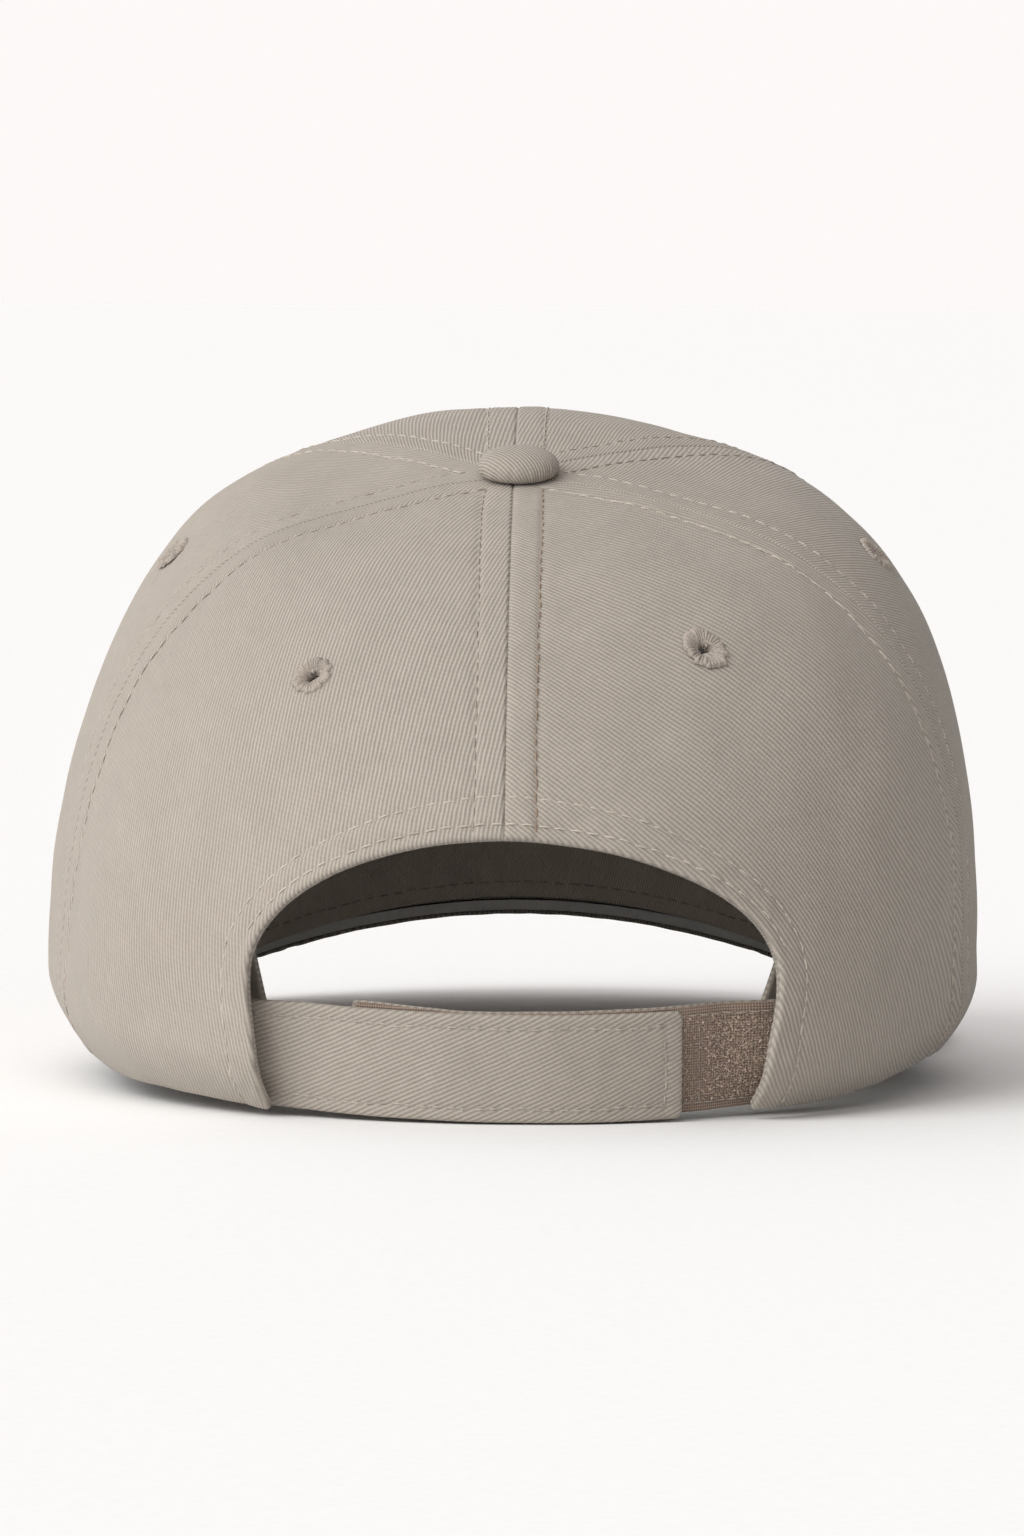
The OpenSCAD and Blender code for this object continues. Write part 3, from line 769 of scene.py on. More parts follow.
def arched_grid():
    """Grid of th and u over a back panel, with the opening left out."""
    high_w = spaced(UPPER_LENGTH, EDGE_STEPS, [0], 84)[0][1:] / UPPER_LENGTH
    arch_columns = side_columns = 44

    def foot(q):
        """From the top of the arch, q = 0, over its side, 1, to the seam, 2."""
        arch_th, arch_z = open_arch(90 * np.clip(q, 0, 1))
        beside = np.clip(q - 1, 0, 1)
        return mix(arch_th, BACK_SEAM, beside), np.where(q < 1, arch_z, OPEN_MID)

    def upper(q, w):
        th, z = foot(q)
        return mix(th, BACK_SEAM * q / 2, w), mix(u_at(th, z), APEX_U, w)

    def upper_grid(w):
        over, beside = (
            at_distance(lambda q: crown(*upper(q, w)), np.linspace(q0, q0 + 1, 60)[None] + 0 * w,
                        near, far, columns)
            for q0, near, far, columns in ((0, SEAM_STEPS, [0], arch_columns),
                                           (1, EDGE_STEPS, SEAM_STEPS, side_columns)))
        return upper(np.concatenate([over, beside[:, 1:]], 1), w)

    def lower_grid(w):
        q = open_side(OPEN_MID * w) + (BACK_SEAM - open_side(OPEN_MID * w)) * np.linspace(0, 1, 60)
        th = at_distance(lambda q: crown(q, lower_rows(q, w)), q, EDGE_STEPS, SEAM_STEPS,
                         side_columns)
        th = np.concatenate([np.repeat(th[:, :1], over_arch, 1), th], 1)
        return th, lower_rows(th, w)

    over_arch = len(SEAM_STEPS) + arch_columns
    low, high = lower_grid(LOW_W[:, None]), upper_grid(high_w[:, None])
    arch = upper_grid(np.zeros((1, 1)))
    for k in (0, 1):
        low[k][-1, :over_arch] = arch[k][0, :over_arch]
    th, u = joined([low, high])
    keep = all_cells(th)
    keep[:len(LOW_W) - 1, :over_arch] = False
    return th, u, keep


def ribs(x, y, angle):
    """Place across and along ribs that climb at angle from x."""
    return np.stack([x * sind(angle) - y * cosd(angle), x * cosd(angle) + y * sind(angle)], -1)


def rib_place(th, u, th_mid, angle, bend=0.0, hook=0.0):
    """Place in the flat weave, with ribs that climb at angle, seen from outside with
    right as 0 degrees. bend turns the ribs near th_mid as they climb, per millimetre;
    hook turns them near the rim."""
    right = -(th - th_mid) * per_degree((th + th_mid) / 2, u)
    line_u = np.linspace(-1, APEX_U, 200)
    up = np.interp(u, line_u, lengths(crown(th_mid, line_u)))
    height = crown(th, u)[..., 2]
    cloth = ribs(right, up, angle)
    cloth[..., 0] += (hook * 5 * np.log1p(np.exp((26 - height) / 5))
                      - bend * bell(right, 40) * (up - 60) ** 2 / 2)
    return cloth


def cut_vent(points, keep, centre, radius):
    """Leaves out the cells of a vent hole, whose edge lies under the eyelet."""
    middle = (points[:-1, :-1] + points[1:, 1:] + points[1:, :-1] + points[:-1, 1:]) / 4
    keep &= np.linalg.norm(middle - centre, axis=-1) > radius
    return keep


def eyelet_frame(kind, side):
    """Centre of an eyelet and the directions out, up and right."""
    th, z = EYELETS[kind][side]
    th = th * side
    u = u_at(th, z)
    p, n = cloth_at(np.array([th]), np.array([float(u)]))
    up = crown(th, u + 0.01) - crown(th, u - 0.01)
    up = unit(up - n[0] * (up @ n[0]))
    return p[0], n[0], up, np.cross(up, n[0])


# Where each kind of panel runs, and the angle of its ribs on either side
PANELS = {
    "back": (0.0, BACK_SEAM, {1: 82, -1: 137}),
    "side": (BACK_SEAM, FRONT_SEAM, {1: 72, -1: 146}),
    "front": (FRONT_SEAM, 180.0, {1: 64, -1: 105}),
}
BACK_BEND = {1: 0.0026, -1: 0.0008}       # how the back panels' ribs bend and hook
BACK_HOOK = -0.45
VENT_CUT, BUCKRAM_VENT_CUT = 1.6, 2.1      # radii cut out under the eyelets


def make_panel(kind, side_name, side):
    th_from, th_to, angles = PANELS[kind]
    back = kind == "back"
    th, u, keep = arched_grid() if back else plain_grid(th_from, th_to)
    th = th * side
    p, n = crown(th, u), normal(th, u)
    base = p + n * slump(p)[..., None]
    raised = relief(p)
    outer = base + n * raised[..., None]
    inner = base - n * np.maximum(TWILL_T, 0.15 - raised)[..., None]
    keep = cut_vent(outer, keep, eyelet_frame(kind, side)[0], VENT_CUT)
    if back:
        cloth = rib_place(th, u, 0.0, angles[side], side * BACK_BEND[side], side * BACK_HOOK)
    else:
        cloth = rib_place(th, u, side * (th_from + th_to) / 2, angles[side])
    shell_piece(f"twill_{kind}_{side_name}", outer, inner, "twill", cloth, keep, side < 0,
                nodes=[f"{kind}_panel_{side_name}"])


# Each seam's name and the thread of its rows; those beside the centre back differ
SEAM_THREADS = (
    ("centre_back", {"right": "tan_thread", "left": "grey_thread"}), ("back_left", "thread"),
    ("front_left", "cream_thread"), ("centre_front", "thread"), ("front_right", "thread"),
    ("back_right", "cream_thread"),
)
SEAM_ROW_TOP = 0.945       # u where the rows end, under the button
ROW_WANDER = 0.18


def make_seam_stitches():
    """Twin rows beside every seam."""
    for i, ((name, threads), th) in enumerate(zip(SEAM_THREADS, SEAMS)):
        foot = rim_u(th) + 0.03 if th else u_at(0.0, OPEN_MID + OPEN_RISE + 0.8)
        u = np.linspace(float(foot), SEAM_ROW_TOP, 160)
        offset = SEAM_ROW + ROW_WANDER * np.sin(u * 9 + i)
        rows = [cloth_at(th + side * offset / per_degree(th, u), u) for side in (-1, 1)]
        if isinstance(threads, str):
            stitch_piece(f"stitch_{name}", rows, threads)
        else:
            for (side_name, finish), row in zip(threads.items(), rows):
                stitch_piece(f"stitch_{name}_{side_name}", [row], finish)


def make_opening_stitches():
    """Two rows over the arch of the opening, of which the outer runs down its sides."""
    rows = []
    for side_row, top_row, low in ((SIDE_ROW, FACING_ROW, 0.8), (HEM_ROW, HEM_ROW, OPEN_MID + 5)):
        th, z = open_path(side_row, top_row, 160)
        keep = z > low
        rows.append(cloth_at(th[keep], u_at(th[keep], z[keep])))
    stitch_piece("stitch_opening", rows, "cream_thread")


def make_crown():
    for kind in PANELS:
        for side_name, side in SIDES.items():
            make_panel(kind, side_name, side)
    make_seam_stitches()
    make_opening_stitches()


# ---- inner layers ----

def strip_cloth(rows, cols, length, width):
    """Weave place of a plain strip."""
    x = np.linspace(0, width, cols)[None] + np.zeros((rows, 1))
    y = np.linspace(0, length, rows)[:, None] + np.zeros((1, cols))
    return np.stack([x, y], -1)


def make_tape(place_name, node, th, u_from, depth):
    """Tape over the inside of one seam, with its folded edges and stitch rows."""
    half, thick, length = 5.5, 0.4, 115
    u = np.linspace(u_from, 0.95, 120)[:, None]
    across = np.linspace(-half, half, 13)[None]
    place_th = th + across / per_degree(th, u)
    folded = 0.12 * bell(np.abs(across) - half + 0.8, 0.5)
    stitched = 0.1 * bell(np.abs(across) - 3.9, 0.5)
    outer = layer_at(place_th, u, depth)
    inner = layer_at(place_th, u, depth + thick + folded - stitched)
    shell_piece(f"tape_{place_name}", outer, inner, "tape", strip_cloth(120, 13, length, 2 * half),
                nodes=[node])


def make_buckram(side_name, side):
    """Stiff backing of a front panel."""
    th = np.linspace(FRONT_SEAM + 1.2, 179.7, 60)[None] * side
    w = np.linspace(0.0, 1.0, 110)[:, None]
    u = mix(rim_u(th) + 0.03, 0.9, w)
    th = th + 0 * w
    outer, inner = layer_at(th, u, 1.05), layer_at(th, u, 1.65)
    keep = cut_vent(outer, all_cells(outer), eyelet_frame("front", side)[0], BUCKRAM_VENT_CUT)
    shell_piece(f"buckram_{side_name}", outer, inner, "buckram", rib_place(th, u, side * 154.0, 90),
                keep, side < 0, nodes=[f"front_buckram_{side_name}"])


def make_facing():
    """Folded strip that lines the edge of the opening."""
    grows = np.array([0.1, 0.3, 0.7, 1.4, 2.3, 3.5, 5, 6.3, 7.4, 8.1, 8.5])
    places = [open_path(g, g, 90) for g in grows]
    th, z = (np.stack([p[k] for p in places]) for k in (0, 1))
    u = u_at(th, np.maximum(z, 0.5))
    depth = 0.85 + rolled(grows, 0.35)[:, None]
    thick = 0.6 * np.sqrt(np.clip((8.9 - grows) / 0.8, 0.25, 1))[:, None]
    shell_piece("facing", layer_at(th, u, depth), layer_at(th, u, depth + thick), "twill",
                rib_place(th, u, 0.0, 45), flip=True, nodes=["opening_facing"])


# Where the sweatband ends beside the opening: angles of its lower and upper corner
BAND_LEFT_END, BAND_RIGHT_END = (33.5, 43.0), (31.0, 45.5)
BAND_H, BAND_T, BAND_LEAN, BAND_LIFT = 29.0, 0.9, 1.5, 0.4
BAND_LENGTH = 500.0
BAND_ROW = 3.2        # stitch row above its lower edge


def lifted(p, by):
    return np.concatenate([p[..., :2], p[..., 2:] + by[..., None]], -1)


def band_point(th, w, deeper):
    """Point of the sweatband at share w of its height."""
    inward = mix(9.0, 6.0, ease((np.abs(from_back(th)) - 55) / 35)) + BAND_LEAN * w + deeper
    return lifted(inside_rim(th, inward), mix(BAND_LIFT, BAND_H, w))


def band_wave(th, w):
    """Soft waves of the sweatband, in millimetres inward."""
    return 0.25 * ripple(band_point(th, w, 0.0), 30, 21) * ease(w * 2)


def band_th(c, w):
    return mix(mix(*BAND_LEFT_END, w), 360 - mix(*BAND_RIGHT_END, w), c)


def make_sweatband():
    w = spaced(1.0, [0, 0.01, 0.03, 0.07], [0, 0.01, 0.03, 0.06, 0.085, 0.1], 18)[0][:, None]
    w, c = matched(w, np.linspace(0, 1, 330)[None])
    th, wave = band_th(c, w), band_wave(band_th(c, w), w)
    binding = 0.22 * ease((w - 0.9) / 0.02)
    rounding = rolled(w * BAND_H, 0.45) + rolled((1 - w) * BAND_H, 0.45)
    sewn = 0.2 * bell(w * BAND_H - BAND_ROW, 0.6)
    shell_piece("band", band_point(th, w, wave - binding + rounding),
                band_point(th, w, wave + BAND_T + binding - rounding - sewn),
                "band", ribs(BAND_LENGTH * c, BAND_H * w, 60), nodes=["sweatband"])

    c = np.linspace(0.004, 0.996, 700)
    w = np.full_like(c, BAND_ROW / BAND_H)
    th = band_th(c, w)
    on_inner = band_point(th, w, band_wave(th, w) + BAND_T - 0.2)
    toward = band_point(th, w, 20.0) - on_inner
    toward[:, 2] = 0
    stitch_piece("stitch_band", [(on_inner, unit(toward))])


def make_padding():
    """Foam strip between the sweatband and the front of the crown."""
    w, c = matched(np.linspace(0, 1, 16)[:, None], np.linspace(-1, 1, 160)[None])
    th = 180 + 85 * c
    puffed = 0.9 * np.sqrt(np.clip(1 - (2 * w - 1) ** 4, 0, 1)) * np.sqrt(np.clip(1 - c**12, 0, 1))

    def at(deeper):
        return lifted(inside_rim(th, 3.2 + BAND_LEAN * w + deeper), 3 + 23 * w)

    piece = shell_piece("band_padding", at(0.9 - puffed), at(0.95 + puffed), "foam",
                        nodes=["sweatband_padding"])


UNDER_TWILL, UNDER_BUCKRAM = 1.05, 1.9       # depths of the tapes


def make_lining():
    for side_name, side in SIDES.items():
        make_tape(f"back_{side_name}", f"seam_tape_back_{side_name}", side * BACK_SEAM,
                  -0.9, UNDER_TWILL)
        make_tape(f"front_{side_name}", f"seam_tape_front_{side_name}", side * FRONT_SEAM,
                  rim_u(FRONT_SEAM) + 0.04, UNDER_BUCKRAM)
        make_buckram(side_name, side)
    make_tape("centre_front", "seam_tape_front", 180.0, rim_u(180.0) + 0.04, UNDER_BUCKRAM)
    make_tape("centre_back", "seam_tape_back", 0.0, u_at(0.0, OPEN_MID + OPEN_RISE + 9.5),
              UNDER_TWILL)
    make_facing()
    make_sweatband()
    make_padding()


# ---- button and eyelets ----

def on_apex(points):
    """Points with z along the crown's normal at the apex, to the rim frame."""
    lean = math.atan(LEAN * CROWN_H / RIM_L)
    x, y, z = points[..., 0], points[..., 1], points[..., 2]
    z = z + slump(np.array([[0.0, 0.0, CROWN_H]]))[0]
    return np.stack([x, y * math.cos(lean) + z * math.sin(lean),
                     z * math.cos(lean) - y * math.sin(lean) + CROWN_H], -1)


def make_button():
    """Domed cloth cover, gathered round its edge and tucked in below."""
    turns, rings = 160, 26
    a = np.linspace(90, 0, rings)[:, None]
    spin = np.linspace(0, 360, turns, endpoint=False)[None]
    r = BUTTON_R * np.clip(cosd(a), 0, 1) ** (2 / DOME_N)
    z = BUTTON_WAIST + (BUTTON_TOP - BUTTON_WAIST) * np.clip(sind(a), 0, 1) ** (2 / DOME_N)
    tuck_r = BUTTON_R - np.array([[0.15], [0.7], [1.6]])
    tuck_z = np.array([[1.0], [0.5], [BUTTON_BASE]])
    r, z = np.concatenate([r, tuck_r]), np.concatenate([z, tuck_z])
    gathers = ease((r - 5.8) / 1.8) * (0.05 * sind(17 * spin + 40 * sind(3 * spin)) +
                                       0.03 * sind(29 * spin + 80))
    r = r * (1 + 0.004 * sind(2 * spin + 30)) + gathers
    verts = np.stack([r * cosd(spin), r * sind(spin), z + 0 * spin], -1)
    reach = lengths(np.stack([r[:, 0], z[:, 0]], -1))[:, None]
    angle = spin + 55
    cloth = np.stack([reach * sind(angle), reach * cosd(angle)], -1)
    last = (len(r) - 1) * turns
    faces = ring_faces(len(r), turns).reshape(-1, 4).tolist()
    faces.append(list(range(last + turns - 1, last - 1, -1)))
    new_piece("button_cloth", on_apex(verts), faces, "button", cloth, ["button_cover"])


EYELET_THREADS, EYELET_SAMPLES = 34, 7
EYELET_REACH = 3.85
# Section of an eyelet from its outer edge down into the hole: share of the way, height
EYELET_SHARE = np.array([0, 0.03, 0.1, 0.2, 0.32, 0.46, 0.6, 0.72, 0.82, 0.91, 0.97, 1])[:, None]
EYELET_RISE = np.array([-0.1, 0.16, 0.36, 0.46, 0.46, 0.38, 0.22, 0.04, -0.16, -0.42, -0.7,
                        -0.95])[:, None]
# How far its back lies below the cloth's face; in front it goes through the buckram
EYELET_DEPTH = {"back": 1.5, "side": 1.5, "front": 2.3}


def make_eyelet(kind, side_name, side):
    """Ring of satin stitches worked round a vent hole, on both faces."""
    p, n, up, right = eyelet_frame(kind, side)
    wide, tall = EYELET_PULL[side] if kind == "back" else (1.0, 1.0)
    rng = np.random.default_rng(50 + len(kind) + side)
    depth = EYELET_DEPTH[kind]
    cols = EYELET_THREADS * EYELET_SAMPLES
    a = np.arange(cols) * 360 / cols
    strand = np.arange(cols) // EYELET_SAMPLES

    def per_thread(middle, spread, limit=np.inf):
        """A value for each thread, at every point that lies on it."""
        return middle + np.clip(rng.normal(0, spread, EYELET_THREADS), -limit, limit)[strand]

    reach = per_thread(EYELET_REACH, 0.2, 0.3)
    lift = per_thread(1, 0.22)
    inner_r = per_thread(VENT_R, 0.05)
    ridge = 0.24 * np.abs(sind(a * EYELET_THREADS / 2))
    top_r = mix(reach, inner_r, EYELET_SHARE)
    top_z = (EYELET_RISE * lift
             + ridge * ease(EYELET_SHARE / 0.1) * ease((1.15 - EYELET_SHARE) / 0.4))
    low = np.linspace(0.3, 1, 3)[:, None]
    wall_z = mix(EYELET_RISE[-1], 0.1 - depth, low)
    under_t = np.linspace(180, 0, 8)[1:, None]
    under_r = inner_r + 1.1 - 1.1 * cosd(180 - under_t)
    under_z = -depth - 0.3 * sind(under_t)
    r = np.concatenate([top_r, inner_r + 0 * low, under_r])[..., None]
    h = np.concatenate([top_z, wall_z + 0 * a, under_z + 0 * a])[..., None]
    round_hole = cosd(a)[:, None] * (wide * right) + sind(a)[:, None] * (tall * up)
    faces = ring_faces(len(r), cols)[..., [0, 3, 2, 1]].reshape(-1, 4)
    new_piece(f"eyelet_threads_{kind}_{side_name}", p + r * round_hole + h * n, faces.tolist(),
              "pale_thread", nodes=[f"eyelet_{kind}_{side_name}"])


def make_trim():
    make_button()
    for kind in EYELETS:
        for side_name, side in SIDES.items():
            make_eyelet(kind, side_name, side)
    recoat(METAL, "button_shell", "button_back", "button_washer")


# ---- visor ----

def visor_edge(w):
    """Outer edge from the right tip, w = 0, round the front to the left tip."""
    t = np.abs(2 * w - 1)[..., None]
    a, b, c, d = VISOR_OUTLINE
    p = (1 - t) ** 3 * a + 3 * (1 - t) ** 2 * t * b + 3 * (1 - t) * t * t * c + t**3 * d
    return p * np.stack([np.where(w < 0.5, -1.0, 1.0), np.ones_like(w)], -1)


VISOR_EDGE_LINE = visor_edge(np.linspace(0, 1, 220))
VISOR_ROWS = (6.5, 13, 19.5, 26, 32.5, 39)
VISOR_EDGE_STEPS = [0, 0.05, 0.2, 0.5, 0.9, 1.4, 1.9, 2.6]
EDGE_R = 1.95
# Depths below the surface on which the front of the crown stands
VISOR_TOP = PLY_GAP
VISOR_MIDDLE = VISOR_TOP + EDGE_R
VISOR_BOTTOM = 3 * PLY_GAP + 2 * COVER_T + BOARD_T


def visor_root(inward, count=200):
    """The crown's edge above the visor in plan, moved inward, from right to left."""
    w = np.linspace(0, 1, count)
    return inside_rim(180 + VISOR_SPAN * (1 - 2 * w), inward + 0 * w)[:, :2]


def visor_plan():
    """Grid in plan from the crown's edge to the visor's edge."""
    outer = visor_edge(np.linspace(0, 1, 200))
    share = 1 - spaced(60.0, VISOR_EDGE_STEPS, [0], 62)[0] / 60
    return mix(visor_root(VISOR_IN)[None], outer[None], share[::-1, None, None])


def visor_relief(p):
    """How far stitch rows and waves raise the covers, and the distance to the edge."""
    edge = distance(p, VISOR_EDGE_LINE)
    h = np.zeros(p.shape[:-1])
    for row in VISOR_ROWS:
        h -= 0.22 * bell(edge - row, 0.7)
    wave = np.concatenate([p, np.zeros((*p.shape[:-1], 1))], -1)
    return h + 0.06 * ripple(wave, 7, 31), edge


def under_seat(plan, drop):
    return np.concatenate([plan, (seat(plan) - drop)[..., None]], -1)


def make_visor_covers(p):
    h, edge = visor_relief(p)
    cloth = ribs(p[..., 0], p[..., 1], 58)
    across = unit(p[-1] - p[0])
    drawn_in = p - 0.6 * across * ease(1 - edge / 3)[..., None]
    rounded = p - 0.35 * bell(edge, 0.25)[..., None] * across
    roll = rolled(edge, EDGE_R)
    shell_piece("visor_cloth_top", under_seat(rounded, VISOR_TOP + roll - h),
                under_seat(drawn_in, np.minimum(VISOR_TOP + COVER_T + roll, VISOR_MIDDLE)),
                "twill", cloth, nodes=["visor_top_cover"])
    shell_piece("visor_cloth_bottom",
                under_seat(drawn_in, np.maximum(VISOR_BOTTOM - COVER_T - roll, VISOR_MIDDLE)),
                under_seat(rounded, VISOR_BOTTOM - roll + h),
                "twill", cloth, nodes=["visor_bottom_cover"])


def make_visor_ends(p):
    """The covers meet over the ends of the board."""
    for side_name, end, backward in (("right", p[:, 0], 1), ("left", p[:, -1], -1)):
        away = backward * unit(np.array([end[-1, 1] - end[0, 1], end[0, 0] - end[-1, 0]]))
        down = np.linspace(0.25, VISOR_BOTTOM - 0.25, 9)[:, None]
        bulge = 0.9 * np.sqrt(np.clip(1 - (2 * down / VISOR_BOTTOM - 1) ** 2, 0, 1))[..., None]
        plan = end[None, :-2]
        outer, inner = (under_seat(plan + out * away, down) for out in (bulge, bulge - 0.5))
        shell_piece(f"visor_end_{side_name}", outer, inner, "twill",
                    strip_cloth(9, plan.shape[1], 5, 4))


def make_visor_stitches():
    root = visor_root(-0.6)
    reach = np.abs(root[:, 0])
    order = np.argsort(reach)
    tangent = unit(np.gradient(VISOR_EDGE_LINE, axis=0))
    top_rows, low_rows = [], []
    for row in VISOR_ROWS:
        path = VISOR_EDGE_LINE + row * np.stack([-tangent[:, 1], tangent[:, 0]], -1)
        crown_y = np.interp(np.abs(path[:, 0]), reach[order], root[order, 1])
        path = path[(distance(path, VISOR_EDGE_LINE) > row - 0.2) & (path[:, 1] < crown_y)]
        dense = along_path(path, resample(path, 1.5))
        h = visor_relief(dense)[0]
        up = np.zeros((len(dense), 3))
        up[:, 2] = 1
        top_rows.append((under_seat(dense, VISOR_TOP - h), up))
        low_rows.append((under_seat(dense, VISOR_BOTTOM + h), -up))
    stitch_piece("stitch_visor_top", top_rows)
    stitch_piece("stitch_visor_bottom", low_rows)


def make_visor():
    p = visor_plan()
    make_visor_covers(p)
    recoat(BOARD, "visor_board")
    make_visor_ends(p)
    make_visor_stitches()


# ---- closure ----

def strap_point(r, at, z):
    """Point on the strap's cylinder; at runs from the centre back, left positive."""
    r, at, z = np.broadcast_arrays(r, at, z)
    return np.stack([STRAP_AXIS[0] + r * sind(at), STRAP_AXIS[1] + r * cosd(at), z], -1)


def degrees(length):
    """Angle of a length along the strap."""
    return math.degrees(length / STRAP_R)


STRAP_ROW = 2.6       # stitch rows from the strap's edges
END_ROW = 3.5         # stitch row from its free end
STITCH_DENT = 0.16
STRAP_RIBS = 25       # angle of the straps' ribs
HOOK_SEED, LOOP_SEED = 41, 43
LOOP_WORN = -32.0     # the hook strap's end has rubbed the loops flat here
STRAP_END_STEPS = [0, 0.05, 0.15, 0.35, 0.7, 1.2, 1.8, 2.5, 3, 3.5, 4, 4.8]
STRAP_EDGE_STEPS = [0, 0.06, 0.2, 0.5, 1.0, 1.6, 2.1, 2.6, 3.1, 3.8]
# What the pieces of each strap would bend over, though bend_across leaves them unbent: fixed body,
# moving body, hinge and radius
HOOK_BEND = ("hook_carrier", "hook_strap", HOOK_HINGE, STRAP_R)
LOOP_BEND = ("cap", "loop_strap", LOOP_HINGE, LOOP_R)
INNER_BEND = ("cap", "loop_strap", LOOP_HINGE, BACK_R)
BEND_REACH = 4.0      # cloth that would bend, on either side of the hinge, though nothing bends it


def bend_across(obj, fixed, moving, at, r):
    """Meant to bend a strap over its hinge, from the fixed body to the moving one; it only bakes the
    piece's transform into its mesh, and the fixed and moving bodies are not used.
    """
    reach = math.copysign(degrees(BEND_REACH), -at)
    start, end = (place(strap_point(r, at + k * reach, STRAP_MID)) for k in (-1, 1))
    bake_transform(obj)


def strap_wave(at, z, seed):
    """Soft creases of a folded strap, in millimetres outward."""
    p = strap_point(STRAP_R, at, z)
    return 0.16 * ripple(p, 16, seed) + 0.05 * ripple(p, 6, seed + 1)


def sewn_out(at, z):
    """How far the straps bend outward to where they are sewn under the panels."""
    far = ease((at - 32) / 13) + 1.25 * ease((-36 - at) / 12)
    return far * mix(0.8, 4.6, ease((z + 1) / 9))


def hook_rise(at):
    return 0.25 * sind(at * 3 + 20)


def loop_rise(at):
    return 0.9 * ease((at - 5) / 20)


def strap_piece(name, r_out, thick, at_from, at_to, finish, seed, node, rides,
                rise=None, inset=0.0, corner=1.4, angle=0, sewn=False):
    """Folded strap of rounded section along an arc, from its free end with rounded
    corners at at_from to its sewn end at at_to."""
    sign = 1 if at_to > at_from else -1
    length = abs(at_to - at_from) / degrees(1)
    d = spaced(length, STRAP_END_STEPS, [0], int(length / 0.8))[0][:, None]
    at = at_from + sign * d * degrees(1)
    width = STRAP_H - 2 * inset
    across = spaced(width, STRAP_EDGE_STEPS, STRAP_EDGE_STEPS, 16)
    drawn = inset + rolled(d, corner)
    z = mix(drawn, STRAP_H - drawn, across / width)
    if rise:
        z = z + rise(at)
    edge = np.minimum(across, width - across)
    flat = thick / 2 * (1 - 0.94 * rolled(edge, 0.7) / 0.7) * (1 - 0.9 * rolled(d, 0.6) / 0.6)
    dents = 0 * flat
    if sewn:
        dents = STITCH_DENT * bell(edge - STRAP_ROW, 0.5)
        dents = dents + STITCH_DENT * bell(d - END_ROW, 0.5) * ease((edge - STRAP_ROW + 1) / 0.5)
    wave = strap_wave(at, z, seed)
    middle = r_out - thick / 2 + sewn_out(at, z)
    outer = strap_point(middle + flat - dents + wave, at, z)
    inner = strap_point(middle - flat + np.minimum(wave, 0.12), at, z)
    shell_piece(name, outer, inner, finish, ribs(-at / degrees(1), z, angle), flip=sign < 0,
                nodes=node, rides=rides)


def strap_row(at, z, r_out, seed, dent=0.0):
    """Points and normals of a stitch row on a strap."""
    out = r_out + sewn_out(at, z) + strap_wave(at, z, seed) - dent
    return strap_point(out, at, z), np.stack([sind(at), cosd(at), 0 * at], -1)


def make_hook_strap():
    """The outer strap with its stitch rows along both edges and across its end."""
    strap_piece("strap_outer", STRAP_R, HOOK_T, HOOK_END, HOOK_TAIL, "strap", HOOK_SEED,
                ["hook_strap_root", "hook_strap"], HOOK_BEND, hook_rise, angle=STRAP_RIBS, sewn=True)
    rows = []
    row_end = HOOK_END + degrees(END_ROW)
    at = np.linspace(row_end, HOOK_TAIL - 4, 160)
    for z in (STRAP_ROW, STRAP_H - STRAP_ROW):
        z_row = z + 0.18 * np.sin(at * 0.35 + z) + hook_rise(at)
        rows.append(strap_row(at, z_row, STRAP_R, HOOK_SEED, STITCH_DENT))
    z = np.linspace(STRAP_ROW, STRAP_H - STRAP_ROW, 60)
    at = row_end + degrees(0.22) * np.sin(z * 0.55)
    rows.append(strap_row(at, z + hook_rise(at), STRAP_R, HOOK_SEED, STITCH_DENT))
    stitch_piece("stitch_strap_outer", rows, "strap_thread", rides=HOOK_BEND, stitch=2.1, gap=0.5)


HOOK_R = 0.085
# One hook from its foot to its tip: how far it stands out, bends over and how thick it is
HOOK_OUT = np.array([0.0, 0.16, 0.3, 0.42, 0.46, 0.40, 0.30])
HOOK_OVER = np.array([0.0, 0.0, 0.03, 0.12, 0.28, 0.40, 0.44])
HOOK_TAPER = np.array([1.3, 1, 1, 1, 1, 1, 0.8])


def make_hook_tape():
    """Bristly ground on the inside of the outer strap, and its hooks in rows."""
    first, last = PATCH_SPAN
    strap_piece("hook_tape", PATCH_R + 0.05, 0.4, first, last, "hook_ground", HOOK_SEED,
                ["hook_patch"], "hook_strap", inset=1.5, corner=0.8)
    rng = np.random.default_rng(61)
    at, z = (g.ravel() for g in np.meshgrid(np.arange(first + 0.8, last - 0.6, 1.05),
                                            np.arange(2.5, STRAP_H - 2.2, 1.1)))
    at, z = at + rng.uniform(-0.15, 0.15, at.size), z + rng.uniform(-0.1, 0.1, z.size)
    way = np.where(rng.random(at.size) < 0.5, -1, 1)[:, None]
    centre = strap_point(PATCH_R - 0.32 - HOOK_OUT, at[:, None] + degrees(1) * HOOK_OVER * way,
                         z[:, None])
    up = np.broadcast_to(np.array([0.0, 0.0, 1.0]), (len(at), 3))
    sweep("hooks", centre, up, HOOK_R * HOOK_TAPER, "hook_fibre", 5, rides="hook_strap")


PILE_R = 0.048


